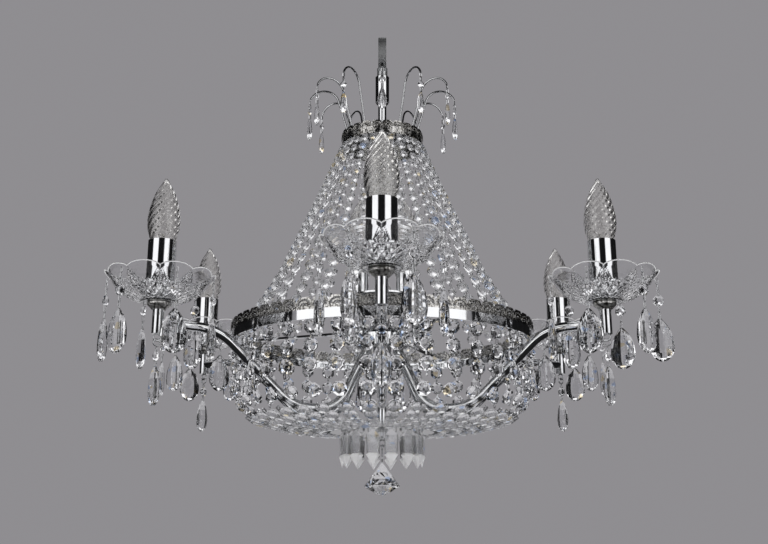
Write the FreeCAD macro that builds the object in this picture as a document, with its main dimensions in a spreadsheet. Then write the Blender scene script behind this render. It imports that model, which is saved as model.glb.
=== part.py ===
"""A crystal basket chandelier: a bead tent and basket on a ring, with six candle arms.

Heights in the sheet are measured upwards from the bottom edge of the main ring. Every piece is
then lowered by hang_to_ring, so that the origin lies at the centre of the hanging eye.
Azimuths start at the front (-Y) and grow towards the right (+X).
"""
import FreeCAD, Part
import math
import os
import re

import Sketcher
from FreeCAD import Placement, Rotation, Vector

UP = Vector(0, 0, 1)

# name, value in mm (or degrees, or a count), what it is
SIZES = [
    ("hang_to_ring", 374.5, "from the centre of the eye down to the bottom edge of the main ring"),
    ("fit_gap", 0.1, "radial gap of a screwed or slipped fit"),
    ("seat_gap", 0.3, "gap between a piece and its seat"),
    ("eye_bore_radius", 17.5, "inside of the hanging eye"),
    ("eye_wall", 6.0, "thickness of the eye across its ring"),
    ("eye_width", 10.0, "width of the eye along its bore"),
    ("eye_foot_height", 5.0, "foot between the eye and the collar"),
    ("eye_foot_radius", 6.5, "radius of that foot"),
    ("collar_radius", 8.75, "sleeve under the eye"),
    ("collar_length", 37.0, "its length"),
    ("collar_grip", 14.0, "how far the centre tube goes into the collar"),
    ("tube_radius", 5.25, "centre tube, outside"),
    ("tube_bore_radius", 4.0, "centre tube, inside"),
    ("cable_hole", 3.5, "radius of the cable's way through foot and collar"),
    ("collar_chamfer", 1.5, "chamfer of the collar"),
    ("cap_grip", 5.0, "how far the centre tube goes into the cap nut"),
    ("nut_width", 18.0, "hexagon nuts on the centre tube, across flats"),
    ("nut_height", 5.0, "their height"),
    ("crown_base", 250.0, "bottom edge of the crown"),
    ("crown_height", 16.0, "height of the crown"),
    ("crown_radius", 50.0, "outside of the crown"),
    ("crown_wall", 1.6, "its thickness"),
    ("crown_arches", 24, "arches round the crown"),
    ("crown_plate_level", 261.5, "underside of the plate in the crown"),
    ("crown_plate_thickness", 2.5, "its thickness"),
    ("tendril_count", 12, "curled wires on the crown"),
    ("tendril_circle", 41.0, "radius of the circle they stand on"),
    ("tendril_wire_radius", 1.2, "their wire"),
    ("tendril_rise", 50.0, "straight part of a wire"),
    ("tendril_lean", 16.0, "its lean outwards, degrees"),
    ("tendril_bend", 18.5, "radius of the curl"),
    ("tendril_tip_angle", 20.0, "angle at which the curl ends, above level"),
    ("tent_strands_per_arm", 5, "bead strands from crown to ring, for each arm"),
    ("tent_small_bead", 9.4, "width of the upper beads"),
    ("tent_large_bead", 13.0, "width of the lower beads"),
    ("bead_gap", 3.2, "wire between two beads"),
    ("bead_flatness", 0.45, "thickness of a bead as a share of its width"),
    ("bead_wire", 0.5, "half the width of the wire between the beads"),
    ("tent_upper_radius", 85.0, "tent at the upper bend"),
    ("tent_upper_level", 165.0, "height of the upper bend"),
    ("tent_lower_radius", 123.0, "tent at the lower bend"),
    ("tent_lower_level", 80.0, "height of the lower bend"),
    ("tent_foot_inset", 8.0, "from the outside of the ring in to the foot of the tent"),
    ("ring_radius", 175.8, "main ring, outside"),
    ("ring_height", 10.0, "height of its band"),
    ("ring_wall", 1.8, "thickness of the band"),
    ("flange_width", 14.0, "shelf inside the band"),
    ("flange_level", 4.5, "underside of the shelf"),
    ("flange_thickness", 1.5, "thickness of the shelf"),
    ("gallery_height", 13.0, "pierced gallery on the ring"),
    ("gallery_wall", 1.2, "its thickness"),
    ("gallery_arches", 60, "arches round the gallery"),
    ("spoke_count", 3, "spokes that carry the ring"),
    ("spoke_width", 7.0, "width of a spoke"),
    ("spoke_thickness", 2.5, "thickness of a spoke"),
    ("spoke_root_lift", 2.0, "from the foot of the boss up to the root of a spoke"),
    ("spoke_lap", 5.0, "how far a spoke reaches over the shelf"),
    ("spoke_hub_radius", 14.0, "boss in the middle of the spokes"),
    ("spoke_hub_height", 6.0, "height of the boss"),
    ("basket_strands_per_arm", 6, "bead strands from ring to base, for each arm"),
    ("basket_bead", 14.0, "width of their beads"),
    ("basket_floor_bead", 11.2, "width of the beads next to the base plate"),
    ("basket_top_inset", 7.0, "from the outside of the ring in to the top of the basket"),
    ("basket_belly_radius", 172.0, "basket at its belly"),
    ("basket_belly_depth", 56.0, "depth of the belly under the ring"),
    ("basket_shoulder_radius", 152.0, "basket at its shoulder"),
    ("basket_shoulder_depth", 84.0, "depth of the shoulder"),
    ("basket_floor_radius", 112.0, "basket at the bend of its floor"),
    ("basket_floor_depth", 94.0, "depth of that bend"),
    ("base_radius", 62.0, "base plate"),
    ("base_depth", 99.0, "underside of the base plate under the ring"),
    ("base_thickness", 2.5, "thickness of the base plate"),
    ("prism_count", 14, "spear prisms under the base plate"),
    ("prism_circle", 44.4, "radius of their circle"),
    ("prism_width", 14.5, "width of a prism"),
    ("prism_length", 38.5, "length of a prism"),
    ("prism_point", 13.0, "length of its pointed end"),
    ("prism_shoulder", 5.8, "length of its tapered top"),
    ("prism_top_width", 3.6, "width of its top"),
    ("prism_flatness", 0.75, "thickness of a prism as a share of its width"),
    ("cap_radius", 8.0, "cap nut under the base plate"),
    ("cap_height", 8.0, "its height"),
    ("cap_end_radius", 5.6, "its lower end"),
    ("loop_radius", 3.6, "small wire loops, to the middle of the wire"),
    ("loop_wire_radius", 0.8, "their wire"),
    ("finial_neck", 7.5, "wire between the link and the finial"),
    ("finial_top_width", 10.0, "width of its top facet ring"),
    ("finial_top_rise", 3.0, "height of its top over that ring"),
    ("finial_length", 42.5, "finial drop"),
    ("finial_width", 40.0, "its greatest width"),
    ("finial_point", 12.5, "height of the finial under its greatest width"),
    ("arm_reach", 267.9, "from the centre to the axis of a candle"),
    ("arm_tube_radius", 5.0, "arm tube, outside"),
    ("arm_wall", 1.0, "its wall"),
    ("arm_level", 1.5, "axis of the outer run of an arm above the bottom of the ring"),
    ("arm_dip", 76.0, "depth of the lowest run of an arm"),
    ("arm_root_radius", 21.0, "where the arm leaves the hub"),
    ("arm_inner_bend", 58.0, "corner between the root and the lowest run"),
    ("arm_middle_bend", 112.0, "corner between the lowest run and the slope"),
    ("arm_outer_bend", 202.0, "corner between the slope and the outer run"),
    ("arm_inner_sweep", 40.0, "radius of the inner bend"),
    ("arm_outer_sweep", 60.0, "radius of the two outer bends"),
    ("arm_grip", 9.0, "how far an arm goes into the hub"),
    ("hub_radius", 31.0, "hub, outside"),
    ("hub_height", 20.0, "its height"),
    ("hub_chamfer", 3.0, "chamfer of the hub"),
    ("hub_level", -4.0, "its lower rim"),
    ("stub_radius", 6.0, "upright stub at the end of an arm"),
    ("stub_bottom", -10.6, "its lower end"),
    ("stub_top", 15.0, "its upper end"),
    ("stub_floor", 2.0, "thickness of its closed lower end"),
    ("wire_way_radius", 3.5, "radius of the way for the wires through stub and nipple"),
    ("nipple_radius", 5.0, "threaded nipple over the stub"),
    ("nipple_height", 19.0, "its height"),
    ("cup_radius", 12.0, "cup under a dish"),
    ("cup_height", 7.0, "its height"),
    ("cup_foot_radius", 7.2, "its lower end"),
    ("cup_rim", 2.1, "height of its upright rim"),
    ("dish_radius", 57.5, "glass dish"),
    ("dish_rise", 30.0, "from its underside to its rim"),
    ("dish_thickness", 3.0, "thickness of the glass"),
    ("dish_foot_radius", 19.0, "flat middle of the dish"),
    ("dish_hole_gap", 1.0, "gap round the nipple in the dish"),
    ("dish_middle_radius", 41.5, "radius of the bowl half way out"),
    ("dish_middle_rise", 11.0, "height of the bowl there over its underside"),
    ("dish_lobes", 10, "lobes of its rim"),
    ("dish_notch", 4.5, "radius of the notches between the lobes"),
    ("cover_radius", 15.0, "candle cover, outside"),
    ("cover_wall", 1.0, "its wall"),
    ("cover_top", 88.8, "its upper edge"),
    ("holder_radius", 11.0, "lampholder"),
    ("holder_height", 36.0, "its height"),
    ("holder_flange", 3.0, "thickness of its foot"),
    ("socket_depth", 20.0, "depth of the socket in a lampholder"),
    ("bulb_cap_radius", 7.0, "screw cap of a bulb"),
    ("bulb_cap_length", 24.0, "its length"),
    ("bulb_cap_lift", 0.7, "from the floor of the socket to the screw cap"),
    ("bulb_radius", 17.5, "greatest radius of a bulb"),
    ("bulb_waist_radius", 13.2, "radius of the glass at the edge of the cover"),
    ("bulb_waist_rise", 23.0, "from the screw cap up to that place"),
    ("bulb_belly_rise", 44.0, "from the screw cap up to the greatest radius"),
    ("bulb_neck_radius", 13.9, "radius of the glass between belly and tip"),
    ("bulb_neck_rise", 66.0, "from the screw cap up to that place"),
    ("bulb_glass_length", 93.0, "length of the glass"),
    ("bulb_tip_radius", 1.2, "flat end of the tip"),
    ("inner_circle", 26.5, "from the centre tube to an inner lamp"),
    ("inner_level", 58.0, "underside of the plate of the inner lamps"),
    ("inner_plate_radius", 39.0, "plate of the inner lamps"),
    ("inner_plate_thickness", 2.0, "its thickness"),
    ("inner_cover_radius", 10.0, "cover of an inner lamp, outside"),
    ("inner_cover_length", 28.0, "its length"),
    ("inner_holder_height", 24.0, "lampholder in an inner cover"),
    ("drop_count", 6, "drops on the rim of a dish"),
    ("drop_circle", 56.0, "radius of their circle"),
    ("drop_wire", 18.0, "wire from the rim to the bead of a drop"),
    ("drop_link", 13.0, "wire from that bead to the drop"),
    ("drop_bead", 12.0, "bead over a drop"),
    ("drop_width", 27.0, "greatest width of a drop"),
    ("drop_length", 45.0, "length of a drop"),
    ("drop_flatness", 0.42, "thickness of a drop as a share of its width"),
    ("drop_twist", 90.0, "turn of the one drop on each dish that hangs turned on its wire, degrees"),
    ("stub_drop_width", 20.0, "drop under a stub"),
    ("stub_drop_length", 40.0, "its length"),
    ("stub_drop_flatness", 0.6, "its thickness as a share of its width"),
    ("small_bead", 8.5, "bead of a tendril"),
    ("small_wire", 11.0, "wire from a tendril to its bead"),
    ("small_drop_width", 10.0, "drop of a tendril"),
    ("small_drop_length", 28.0, "its length"),
    ("small_drop_flatness", 0.65, "its thickness as a share of its width"),
    ("link_length", 5.0, "wire between a bead and its drop"),
]

ARM_COUNT = 6
ARM_STEP = 360.0 / ARM_COUNT

# share of a bead's height that each of its tapered ends takes
BEAD_TAPER = 0.3
# outline of a cut drop: share of its length, and half width as a share of its greatest width
DROP_OUTLINE = [(0.1, 0.17), (0.3, 0.4), (0.64, 0.5), (0.88, 0.38), (1.0, 0.12)]
# radii of a pierced arch, and of the opening under it, as shares of half a division
ARCH_RADII = (0.82, 0.58)
ARCH_OPENING = 0.38
# radius that clears the corners between two arches, and the band left over them, as such shares
ARCH_BACK = 0.99
ARCH_BRIDGE = 0.2

doc = FreeCAD.newDocument("crystal_chandelier")
sheet = doc.addObject("Spreadsheet::Sheet", "Sizes")


def fill_sheet():
    """Writes one row per size: its name, its value under an alias, and what it is."""
    for row, (name, value, note) in enumerate(SIZES, start=1):
        sheet.set("A%d" % row, name)
        sheet.set("B%d" % row, str(value))
        sheet.set("C%d" % row, note)
        sheet.setAlias("B%d" % row, name)
    doc.recompute()


fill_sheet()


class SheetReader:
    """Reads the sizes by name, so that code and expressions share one set of values."""

    def __getattr__(self, name):
        return sheet.get(name)


size = SheetReader()
NODES = []


def register(thing, label):
    """Gives a finished sub-part its label and keeps it for the export."""
    thing.Label = label
    NODES.append(thing)
    return thing


def expression(text):
    """Turns a sum of size names into an expression on the sheet."""
    names = {name for name, _, _ in SIZES}
    return re.sub(r"[a-z_]+", lambda word: "Sizes." + word[0] if word[0] in names else word[0], text)


def bind(thing, prop, text):
    """Ties a property of an object to sizes of the sheet."""
    thing.setExpression(prop, expression(text))


def lower(thing):
    """Moves a piece from heights over the ring to the frame of the hanging eye."""
    bind(thing, "Placement.Base.z", "- hang_to_ring")


def stand_on_arm(thing, azimuth):
    """Puts a piece that is built round its own axis on the candle axis of one arm."""
    thing.Placement = Placement(Vector(), Rotation(UP, azimuth))
    bind(thing, "Placement.Base.x", "arm_reach * sin(%g)" % azimuth)
    bind(thing, "Placement.Base.y", "- arm_reach * cos(%g)" % azimuth)
    lower(thing)


# ---------------------------------------------------------------------------
# turned pieces
# ---------------------------------------------------------------------------

def origin_plane(body, role):
    """Finds one of a body's own origin planes."""
    return next(item for item in body.Origin.OriginFeatures if item.Role == role)


def turned_body(name, corners):
    """Turns a closed outline of straight edges round the Z axis.

    Each corner is a pair of size sums: its radius and its height.
    """
    body = doc.addObject("PartDesign::Body", name)
    sketch = body.newObject("Sketcher::SketchObject", name + "_outline")
    sketch.AttachmentSupport = [(origin_plane(body, "XZ_Plane"), "")]
    sketch.MapMode = "FlatFace"
    points = [Vector(value_of(radius), value_of(height), 0) for radius, height in corners]
    for index, start in enumerate(points):
        end = points[(index + 1) % len(points)]
        sketch.addGeometry(Part.LineSegment(start, end))
    for index in range(len(points)):
        following = (index + 1) % len(points)
        sketch.addConstraint(Sketcher.Constraint("Coincident", index, 2, following, 1))
    for index, (radius, height) in enumerate(corners):
        place_corner(sketch, index, "DistanceX", radius, points[index].x)
        place_corner(sketch, index, "DistanceY", height, points[index].y)
    turn = body.newObject("PartDesign::Revolution", name + "_turn")
    turn.Profile = sketch
    turn.ReferenceAxis = (sketch, ["V_Axis"])
    turn.Angle = 360
    body.Tip = turn
    return body


def place_corner(sketch, index, kind, text, value):
    """Holds one coordinate of a sketch corner at a sum of sizes."""
    number = sketch.addConstraint(Sketcher.Constraint(kind, -1, 1, index, 1, value))
    sketch.setExpression("Constraints[%d]" % number, expression(text))


def value_of(text):
    """Works out a sum of sizes as a number."""
    return float(sheet.evalExpression(expression(text)))


# ---------------------------------------------------------------------------
# pieces with flat facets
# ---------------------------------------------------------------------------

def flat_face(corners):
    """A flat face with these corners."""
    return Part.Face(Part.makePolygon(list(corners) + [corners[0]]))


def faceted_solid(rings):
    """Joins a row of parallel polygons with as many corners each into one closed solid."""
    faces = [flat_face(rings[0]), flat_face(rings[-1])]
    for low, high in zip(rings, rings[1:]):
        for index in range(len(low)):
            following = (index + 1) % len(low)
            faces.append(flat_face([low[index], low[following], high[following], high[index]]))
    solid = Part.makeSolid(Part.makeShell(faces))
    if solid.Volume < 0:
        solid.reverse()
    return solid


def hanging_string(top, profile, sides, flatness):
    """A solid that hangs straight down from a point, such as a wire, a bead and a drop.

    The profile is a list of depth under the point and half width there, along Y. The thickness is along X.
    """
    rings = []
    for depth, half_width in profile:
        ring = []
        for index in range(sides):
            angle = 2 * math.pi * index / sides
            thickness = flatness * half_width * math.sin(angle)
            ring.append(top + Vector(thickness, half_width * math.cos(angle), -depth))
        rings.append(ring)
    return faceted_solid(rings)


def bead_strand(path, bead_widths):
    """A strand of beads in the XZ plane, as one solid for each of its straight runs.

    The path is a list of radius and height, and bead_widths holds the bead width of each run. A run starts
    a seat gap after the one before it, where two wire pins hook into each other.
    """
    runs = []
    wire = size.bead_wire
    for (start, end), width in zip(zip(path, path[1:]), bead_widths):
        start_point = Vector(start[0], 0, start[1])
        rings = []
        run = Vector(end[0], 0, end[1]) - start_point
        along = Vector(run).normalize()
        outwards = along.cross(Vector(0, 1, 0))
        count = max(1, int(run.Length / (width + size.bead_gap)))
        pitch = run.Length / count
        for index in range(count):
            first = index * pitch + (pitch - width) / 2
            stations = [(first, wire), (first + width * BEAD_TAPER, width / 2)]
            stations += [(first + width * (1 - BEAD_TAPER), width / 2), (first + width, wire)]
            if index == 0:
                stations.insert(0, (size.seat_gap if runs else 0.0, wire))
            if index == count - 1:
                stations.append((run.Length, wire))
            for place, half_width in stations:
                centre = start_point + along * place
                across = Vector(0, half_width, 0)
                depth = outwards * (half_width * size.bead_flatness)
                rings.append([centre + across, centre + depth, centre - across, centre - depth])
        runs.append(faceted_solid(rings))
    return runs


def turned_copies(shape, count, first=0.0):
    """Copies of a solid, evenly round the Z axis."""
    step = 360.0 / count
    return [shape.rotated(Vector(), UP, first + index * step) for index in range(int(count))]


def turned_runs(strand, count):
    """Copies of all the runs of a strand, evenly round the Z axis, from half a step on."""
    return [copy for run in strand for copy in turned_copies(run, count, 180.0 / count)]


def formed(label, solids):
    """Makes a sub-part from solids that are worked out from the sheet."""
    thing = doc.addObject("Part::Feature", label)
    thing.Shape = Part.makeCompound(solids) if len(solids) > 1 else solids[0]
    return register(thing, label)


def ring_loop(centre, axis):
    """A small closed loop of wire."""
    return Part.makeTorus(size.loop_radius, size.loop_wire_radius, centre, axis)


# ---------------------------------------------------------------------------
# the stack on the centre tube
# ---------------------------------------------------------------------------

COLLAR_TOP = "hang_to_ring - eye_bore_radius - eye_wall - eye_foot_height"
COLLAR_BOTTOM = COLLAR_TOP + " - collar_length"
TUBE_TOP = COLLAR_BOTTOM + " + collar_grip"
TUBE_FIT = "tube_radius + fit_gap"


def make_hanging_eye():
    """The eye: a ring with a level bore along X, on a short foot that the cable comes through."""
    outer = doc.addObject("Part::Cylinder", "eye_disc")
    bind(outer, "Radius", "eye_bore_radius + eye_wall")
    bind(outer, "Height", "eye_width")
    foot = doc.addObject("Part::Cylinder", "eye_foot")
    bind(foot, "Radius", "eye_foot_radius")
    bind(foot, "Height", "eye_foot_height + eye_wall")
    bore = doc.addObject("Part::Cylinder", "eye_bore")
    bind(bore, "Radius", "eye_bore_radius")
    bind(bore, "Height", "eye_width")
    for disc in (outer, bore):
        disc.Placement = Placement(Vector(), Rotation(Vector(0, 1, 0), 90))
        bind(disc, "Placement.Base.x", "- eye_width * 0.5")
    bind(foot, "Placement.Base.z", "- eye_bore_radius - eye_wall - eye_foot_height")
    blank = doc.addObject("Part::MultiFuse", "eye_blank")
    blank.Shapes = [outer, foot]
    ring = doc.addObject("Part::Cut", "eye_ring")
    ring.Base = blank
    ring.Tool = bore
    cable_way = doc.addObject("Part::Cylinder", "eye_cable_way")
    bind(cable_way, "Radius", "cable_hole")
    bind(cable_way, "Height", "eye_foot_height + eye_wall + cable_hole")
    bind(cable_way, "Placement.Base.z", "- eye_bore_radius - eye_wall - eye_foot_height")
    eye = doc.addObject("Part::Cut", "hanging_eye")
    eye.Base = ring
    eye.Tool = cable_way
    return register(eye, "hanging_eye")


def make_collar():
    """The sleeve under the eye, with a blind bore for the centre tube."""
    collar = turned_body("eye_collar", [
        ("cable_hole", COLLAR_TOP), ("collar_radius - collar_chamfer", COLLAR_TOP),
        ("collar_radius", COLLAR_TOP + " - collar_chamfer"),
        ("collar_radius", COLLAR_BOTTOM + " + collar_chamfer"),
        ("collar_radius - collar_chamfer", COLLAR_BOTTOM), (TUBE_FIT, COLLAR_BOTTOM),
        (TUBE_FIT, TUBE_TOP + " + fit_gap"), ("cable_hole", TUBE_TOP + " + fit_gap")])
    lower(collar)
    return register(collar, "eye_collar")


def make_centre_tube():
    """The tube that carries everything, from the collar down into the cap nut."""
    tube = turned_body("centre_tube", [
        ("tube_bore_radius", "- base_depth - cap_grip"), ("tube_radius", "- base_depth - cap_grip"),
        ("tube_radius", TUBE_TOP), ("tube_bore_radius", TUBE_TOP)])
    lower(tube)
    return register(tube, "centre_tube")


def make_crown_plate():
    """The plate in the crown, which the tendrils stand on."""
    plate = turned_body("crown_plate", [
        (TUBE_FIT, "crown_plate_level"), ("crown_radius - crown_wall - fit_gap", "crown_plate_level"),
        ("crown_radius - crown_wall - fit_gap", "crown_plate_level + crown_plate_thickness"),
        (TUBE_FIT, "crown_plate_level + crown_plate_thickness")])
    lower(plate)
    return register(plate, "crown_plate")


def arch_window(outer, inner, centre, reach):
    """The space between two half circles over a point, as a prism along X."""
    start, end = Vector(0, -outer, 0), Vector(0, outer, 0)
    edges = [Part.Arc(centre + start, centre + UP * outer, centre + end).toShape()]
    if inner > 0:
        low, high = Vector(0, -inner, 0), Vector(0, inner, 0)
        edges.append(Part.makeLine(centre + end, centre + high))
        edges.append(Part.Arc(centre + high, centre + UP * inner, centre + low).toShape())
        edges.append(Part.makeLine(centre + low, centre + start))
    else:
        edges.append(Part.makeLine(centre + end, centre + start))
    return Part.Face(Part.Wire(edges)).extrude(Vector(reach, 0, 0))


def pierced_band(radius, wall, base, height, arches):
    """A thin band round the Z axis with two open arches, one in the other, in each division.

    A sixth of the band is cut out first, and six of those are joined.
    """
    parts = 6
    share = 360.0 / parts
    across = max(1, round(arches / parts))
    division = share / across
    foot = Vector(0, 0, base)
    sector = Part.makeCylinder(radius, height, foot, UP, share)
    sector = sector.cut(Part.makeCylinder(radius - wall, height, foot, UP))
    arch = math.pi * radius / (parts * across)
    reach = 4 * wall
    centre = Vector(radius - reach / 2, 0, base + height - arch)
    corner = Part.makeBox(reach, 2 * arch, arch, centre - Vector(0, arch, 0))
    corner = corner.cut(Part.makeCylinder(arch * ARCH_BACK, reach, centre, Vector(1, 0, 0)))
    corner.translate(UP * arch * ARCH_BRIDGE)
    outer, inner = ARCH_RADII
    windows = [corner, arch_window(arch * outer, arch * inner, centre, reach)]
    windows.append(arch_window(arch * ARCH_OPENING, 0, centre, reach))
    tools = []
    for index in range(across):
        turn = (index + 0.5) * division
        tools += [window.rotated(Vector(), UP, turn) for window in windows]
    sector = sector.cut(Part.makeCompound(tools))
    copies = turned_copies(sector, parts)
    return copies[0].fuse(copies[1:])


def make_crown_ring():
    """The pierced crown round the plate."""
    band = pierced_band(size.crown_radius, size.crown_wall, size.crown_base, size.crown_height,
                        size.crown_arches)
    crown = formed("crown_ring", [band])
    lower(crown)


def tendril_points():
    """The foot of a tendril, its direction there, the middle of its curl and its tip."""
    lean = math.radians(size.tendril_lean)
    foot = Vector(size.tendril_circle, 0, tendril_foot_height())
    along = Vector(math.sin(lean), 0, math.cos(lean))
    outwards = Vector(math.cos(lean), 0, -math.sin(lean))
    middle = foot + along * size.tendril_rise + outwards * size.tendril_bend
    tip_angle = math.radians(size.tendril_tip_angle)
    tip = middle + Vector(math.cos(tip_angle), 0, math.sin(tip_angle)) * size.tendril_bend
    return foot, along, middle, tip


def tendril_foot_height():
    """Height at which a leaning wire just clears the crown plate."""
    plate_top = size.crown_plate_level + size.crown_plate_thickness
    return plate_top + size.seat_gap + size.tendril_wire_radius * math.sin(math.radians(size.tendril_lean))


def make_tendrils():
    """Wires that rise from the crown plate, lean outwards and curl over."""
    start, along, middle, tip = tendril_points()
    bend_start = start + along * size.tendril_rise
    top = middle + UP * size.tendril_bend
    path = Part.Wire([Part.makeLine(start, bend_start), Part.Arc(bend_start, top, tip).toShape()])
    section = Part.Wire(Part.makeCircle(size.tendril_wire_radius, start, along))
    wire = path.makePipeShell([section], True, False)
    tendrils = formed("crown_tendrils", turned_copies(wire, size.tendril_count))
    lower(tendrils)


def drop_profile(wire, bead, link, drop_width, drop_length):
    """Depths and half widths of a wire, a bead, a link and a cut drop."""
    thin = size.bead_wire
    girdle = bead * BEAD_TAPER
    profile = [(0.0, thin), (wire, thin), (wire + girdle, bead / 2), (wire + bead - girdle, bead / 2),
               (wire + bead, thin)]
    head = wire + bead + link
    profile.append((head, thin))
    profile += [(head + drop_length * depth, drop_width * half_width) for depth, half_width in DROP_OUTLINE]
    return profile


def make_tendril_drops():
    """A bead and a slim drop under the tip of each tendril."""
    tip = tendril_points()[-1]
    reach_under_tip = size.tendril_wire_radius * math.sin(math.radians(size.tendril_tip_angle))
    top = tip - UP * (reach_under_tip + size.seat_gap)
    profile = drop_profile(size.small_wire, size.small_bead, size.link_length,
                           size.small_drop_width, size.small_drop_length)
    drop = hanging_string(top, profile, 4, size.small_drop_flatness)
    drops = formed("tendril_drops", turned_copies(drop, size.tendril_count))
    lower(drops)


def make_inner_plate():
    """The plate of the two inner lamps."""
    bottom, top = "inner_level", "inner_level + inner_plate_thickness"
    plate = turned_body("inner_lamp_plate", [
        (TUBE_FIT, bottom), ("inner_plate_radius", bottom), ("inner_plate_radius", top), (TUBE_FIT, top)])
    lower(plate)
    return register(plate, "inner_lamp_plate")


def make_base_plate():
    """The plate at the bottom of the basket."""
    bottom, top = "- base_depth", "- base_depth + base_thickness"
    plate = turned_body("base_plate", [
        (TUBE_FIT, bottom), ("base_radius", bottom), ("base_radius", top), (TUBE_FIT, top)])
    lower(plate)
    return register(plate, "base_plate")


def make_finial_cap():
    """The cap nut under the base plate, with a wire loop for the finial."""
    rim = -size.base_depth
    floor = rim - size.cap_height
    cap = Part.makeCone(size.cap_end_radius, size.cap_radius, size.cap_height, Vector(0, 0, floor))
    bore_depth = size.cap_grip + size.fit_gap
    bore = Part.makeCylinder(size.tube_radius + size.fit_gap, bore_depth, Vector(0, 0, rim - bore_depth))
    loop = ring_loop(Vector(0, 0, floor - size.loop_radius), Vector(0, 1, 0))
    finial_cap = formed("finial_cap", [cap.cut(bore).fuse(loop)])
    lower(finial_cap)


def link_under(loop_top, axis):
    """A wire link that hangs in a fixed loop, with the height of its lower end."""
    crossing = loop_top - 2 * size.loop_radius
    centre = crossing + 2 * size.loop_wire_radius + size.seat_gap - size.loop_radius
    return ring_loop(Vector(0, 0, centre), axis), centre - size.loop_radius


def make_finial():
    """The large faceted drop under the base, on a link."""
    link, end = link_under(-size.base_depth - size.cap_height, Vector(1, 0, 0))
    neck = size.finial_neck
    length = size.finial_length
    profile = [(0.0, size.bead_wire), (neck, size.bead_wire),
               (neck + size.finial_top_rise, size.finial_top_width / 2),
               (neck + length - size.finial_point, size.finial_width / 2), (neck + length, size.bead_wire)]
    drop = hanging_string(Vector(0, 0, end), profile, 12, 1.0)
    finial = formed("finial_drop", [drop.fuse(link)])
    lower(finial)


def make_nuts():
    """Hexagon nuts that clamp the plates on the centre tube."""
    levels = ["crown_plate_level + crown_plate_thickness", "crown_plate_level - nut_height",
              "inner_level + inner_plate_thickness", "inner_level - nut_height",
              "hub_level + hub_height + spoke_hub_height", "hub_level - nut_height",
              "- base_depth + base_thickness"]
    corner_radius = size.nut_width / math.sqrt(3)
    nuts = []
    for level in levels:
        base = Vector(0, 0, value_of(level))
        corners = [base + Vector(corner_radius * math.cos(math.radians(60 * side)),
                                 corner_radius * math.sin(math.radians(60 * side)), 0) for side in range(6)]
        nut = flat_face(corners).extrude(UP * size.nut_height)
        nuts.append(nut.cut(Part.makeCylinder(value_of(TUBE_FIT), size.nut_height, base)))
    group = formed("stack_nuts", nuts)
    lower(group)


# ---------------------------------------------------------------------------
# ring, tent and basket
# ---------------------------------------------------------------------------

FLANGE_TOP = "flange_level + flange_thickness"
BAND_INSIDE = "ring_radius - ring_wall"


def make_main_ring():
    """The polished band with a shelf inside it."""
    ring = turned_body("main_ring", [
        (BAND_INSIDE, "0"), ("ring_radius", "0"), ("ring_radius", "ring_height"),
        (BAND_INSIDE, "ring_height"), (BAND_INSIDE, FLANGE_TOP),
        (BAND_INSIDE + " - flange_width", FLANGE_TOP), (BAND_INSIDE + " - flange_width", "flange_level"),
        (BAND_INSIDE, "flange_level")])
    lower(ring)
    return register(ring, "main_ring")


def make_gallery():
    """The pierced gallery that stands on the ring."""
    radius = size.ring_radius - (size.ring_wall - size.gallery_wall) / 2
    band = pierced_band(radius, size.gallery_wall, size.ring_height, size.gallery_height, size.gallery_arches)
    gallery = formed("ring_gallery", [band])
    lower(gallery)


def make_spokes():
    """Flat spokes that slope from a boss on the hub down to the shelf of the ring."""
    boss_foot = size.hub_level + size.hub_height
    root = boss_foot + size.spoke_root_lift
    seat = value_of(FLANGE_TOP)
    shelf_edge = value_of(BAND_INSIDE + " - flange_width")
    bend = shelf_edge - size.spoke_lap
    inner = (size.tube_radius + size.spoke_hub_radius) / 2
    thickness = size.spoke_thickness
    outline = [(inner, root), (bend, seat), (shelf_edge + size.spoke_lap, seat),
               (shelf_edge + size.spoke_lap, seat + thickness), (bend, seat + thickness),
               (inner, root + thickness)]
    corners = [Vector(radius, -size.spoke_width / 2, height) for radius, height in outline]
    spoke = flat_face(corners).extrude(Vector(0, size.spoke_width, 0))
    boss = Part.makeCylinder(size.spoke_hub_radius, size.spoke_hub_height, Vector(0, 0, boss_foot))
    wheel = boss.fuse(turned_copies(spoke, size.spoke_count, 180.0 / size.spoke_count))
    bore = Part.makeCylinder(value_of(TUBE_FIT), size.spoke_hub_height, Vector(0, 0, boss_foot))
    spokes = formed("ring_spokes", [wheel.cut(bore)])
    lower(spokes)


def make_tent():
    """Bead strands from the crown out to the shelf of the ring."""
    path = [(size.crown_radius - size.crown_wall / 2, size.crown_base - size.seat_gap),
            (size.tent_upper_radius, size.tent_upper_level),
            (size.tent_lower_radius, size.tent_lower_level),
            (size.ring_radius - size.tent_foot_inset, value_of(FLANGE_TOP) + size.seat_gap)]
    small, large = size.tent_small_bead, size.tent_large_bead
    strand = bead_strand(path, [small, (small + large) / 2, large])
    count = ARM_COUNT * size.tent_strands_per_arm
    lower(formed("tent_strands", turned_runs(strand, count)))


def make_basket():
    """Bead strands down the side of the basket, and on along its floor to the base plate."""
    top = (size.ring_radius - size.basket_top_inset, size.flange_level - size.seat_gap)
    belly = (size.basket_belly_radius, -size.basket_belly_depth)
    shoulder = (size.basket_shoulder_radius, -size.basket_shoulder_depth)
    gap = 2 * size.seat_gap
    turn = (shoulder[0] - gap, shoulder[1] - gap)
    floor = (size.basket_floor_radius, -size.basket_floor_depth)
    end = (size.base_radius + gap, -size.base_depth + size.base_thickness / 2)
    bead = size.basket_bead
    count = ARM_COUNT * size.basket_strands_per_arm
    side = bead_strand([top, belly, shoulder], [bead, bead])
    bottom = bead_strand([turn, floor, end], [bead, size.basket_floor_bead])
    lower(formed("basket_side_strands", turned_runs(side, count)))
    lower(formed("basket_floor_strands", turned_runs(bottom, count)))


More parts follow.
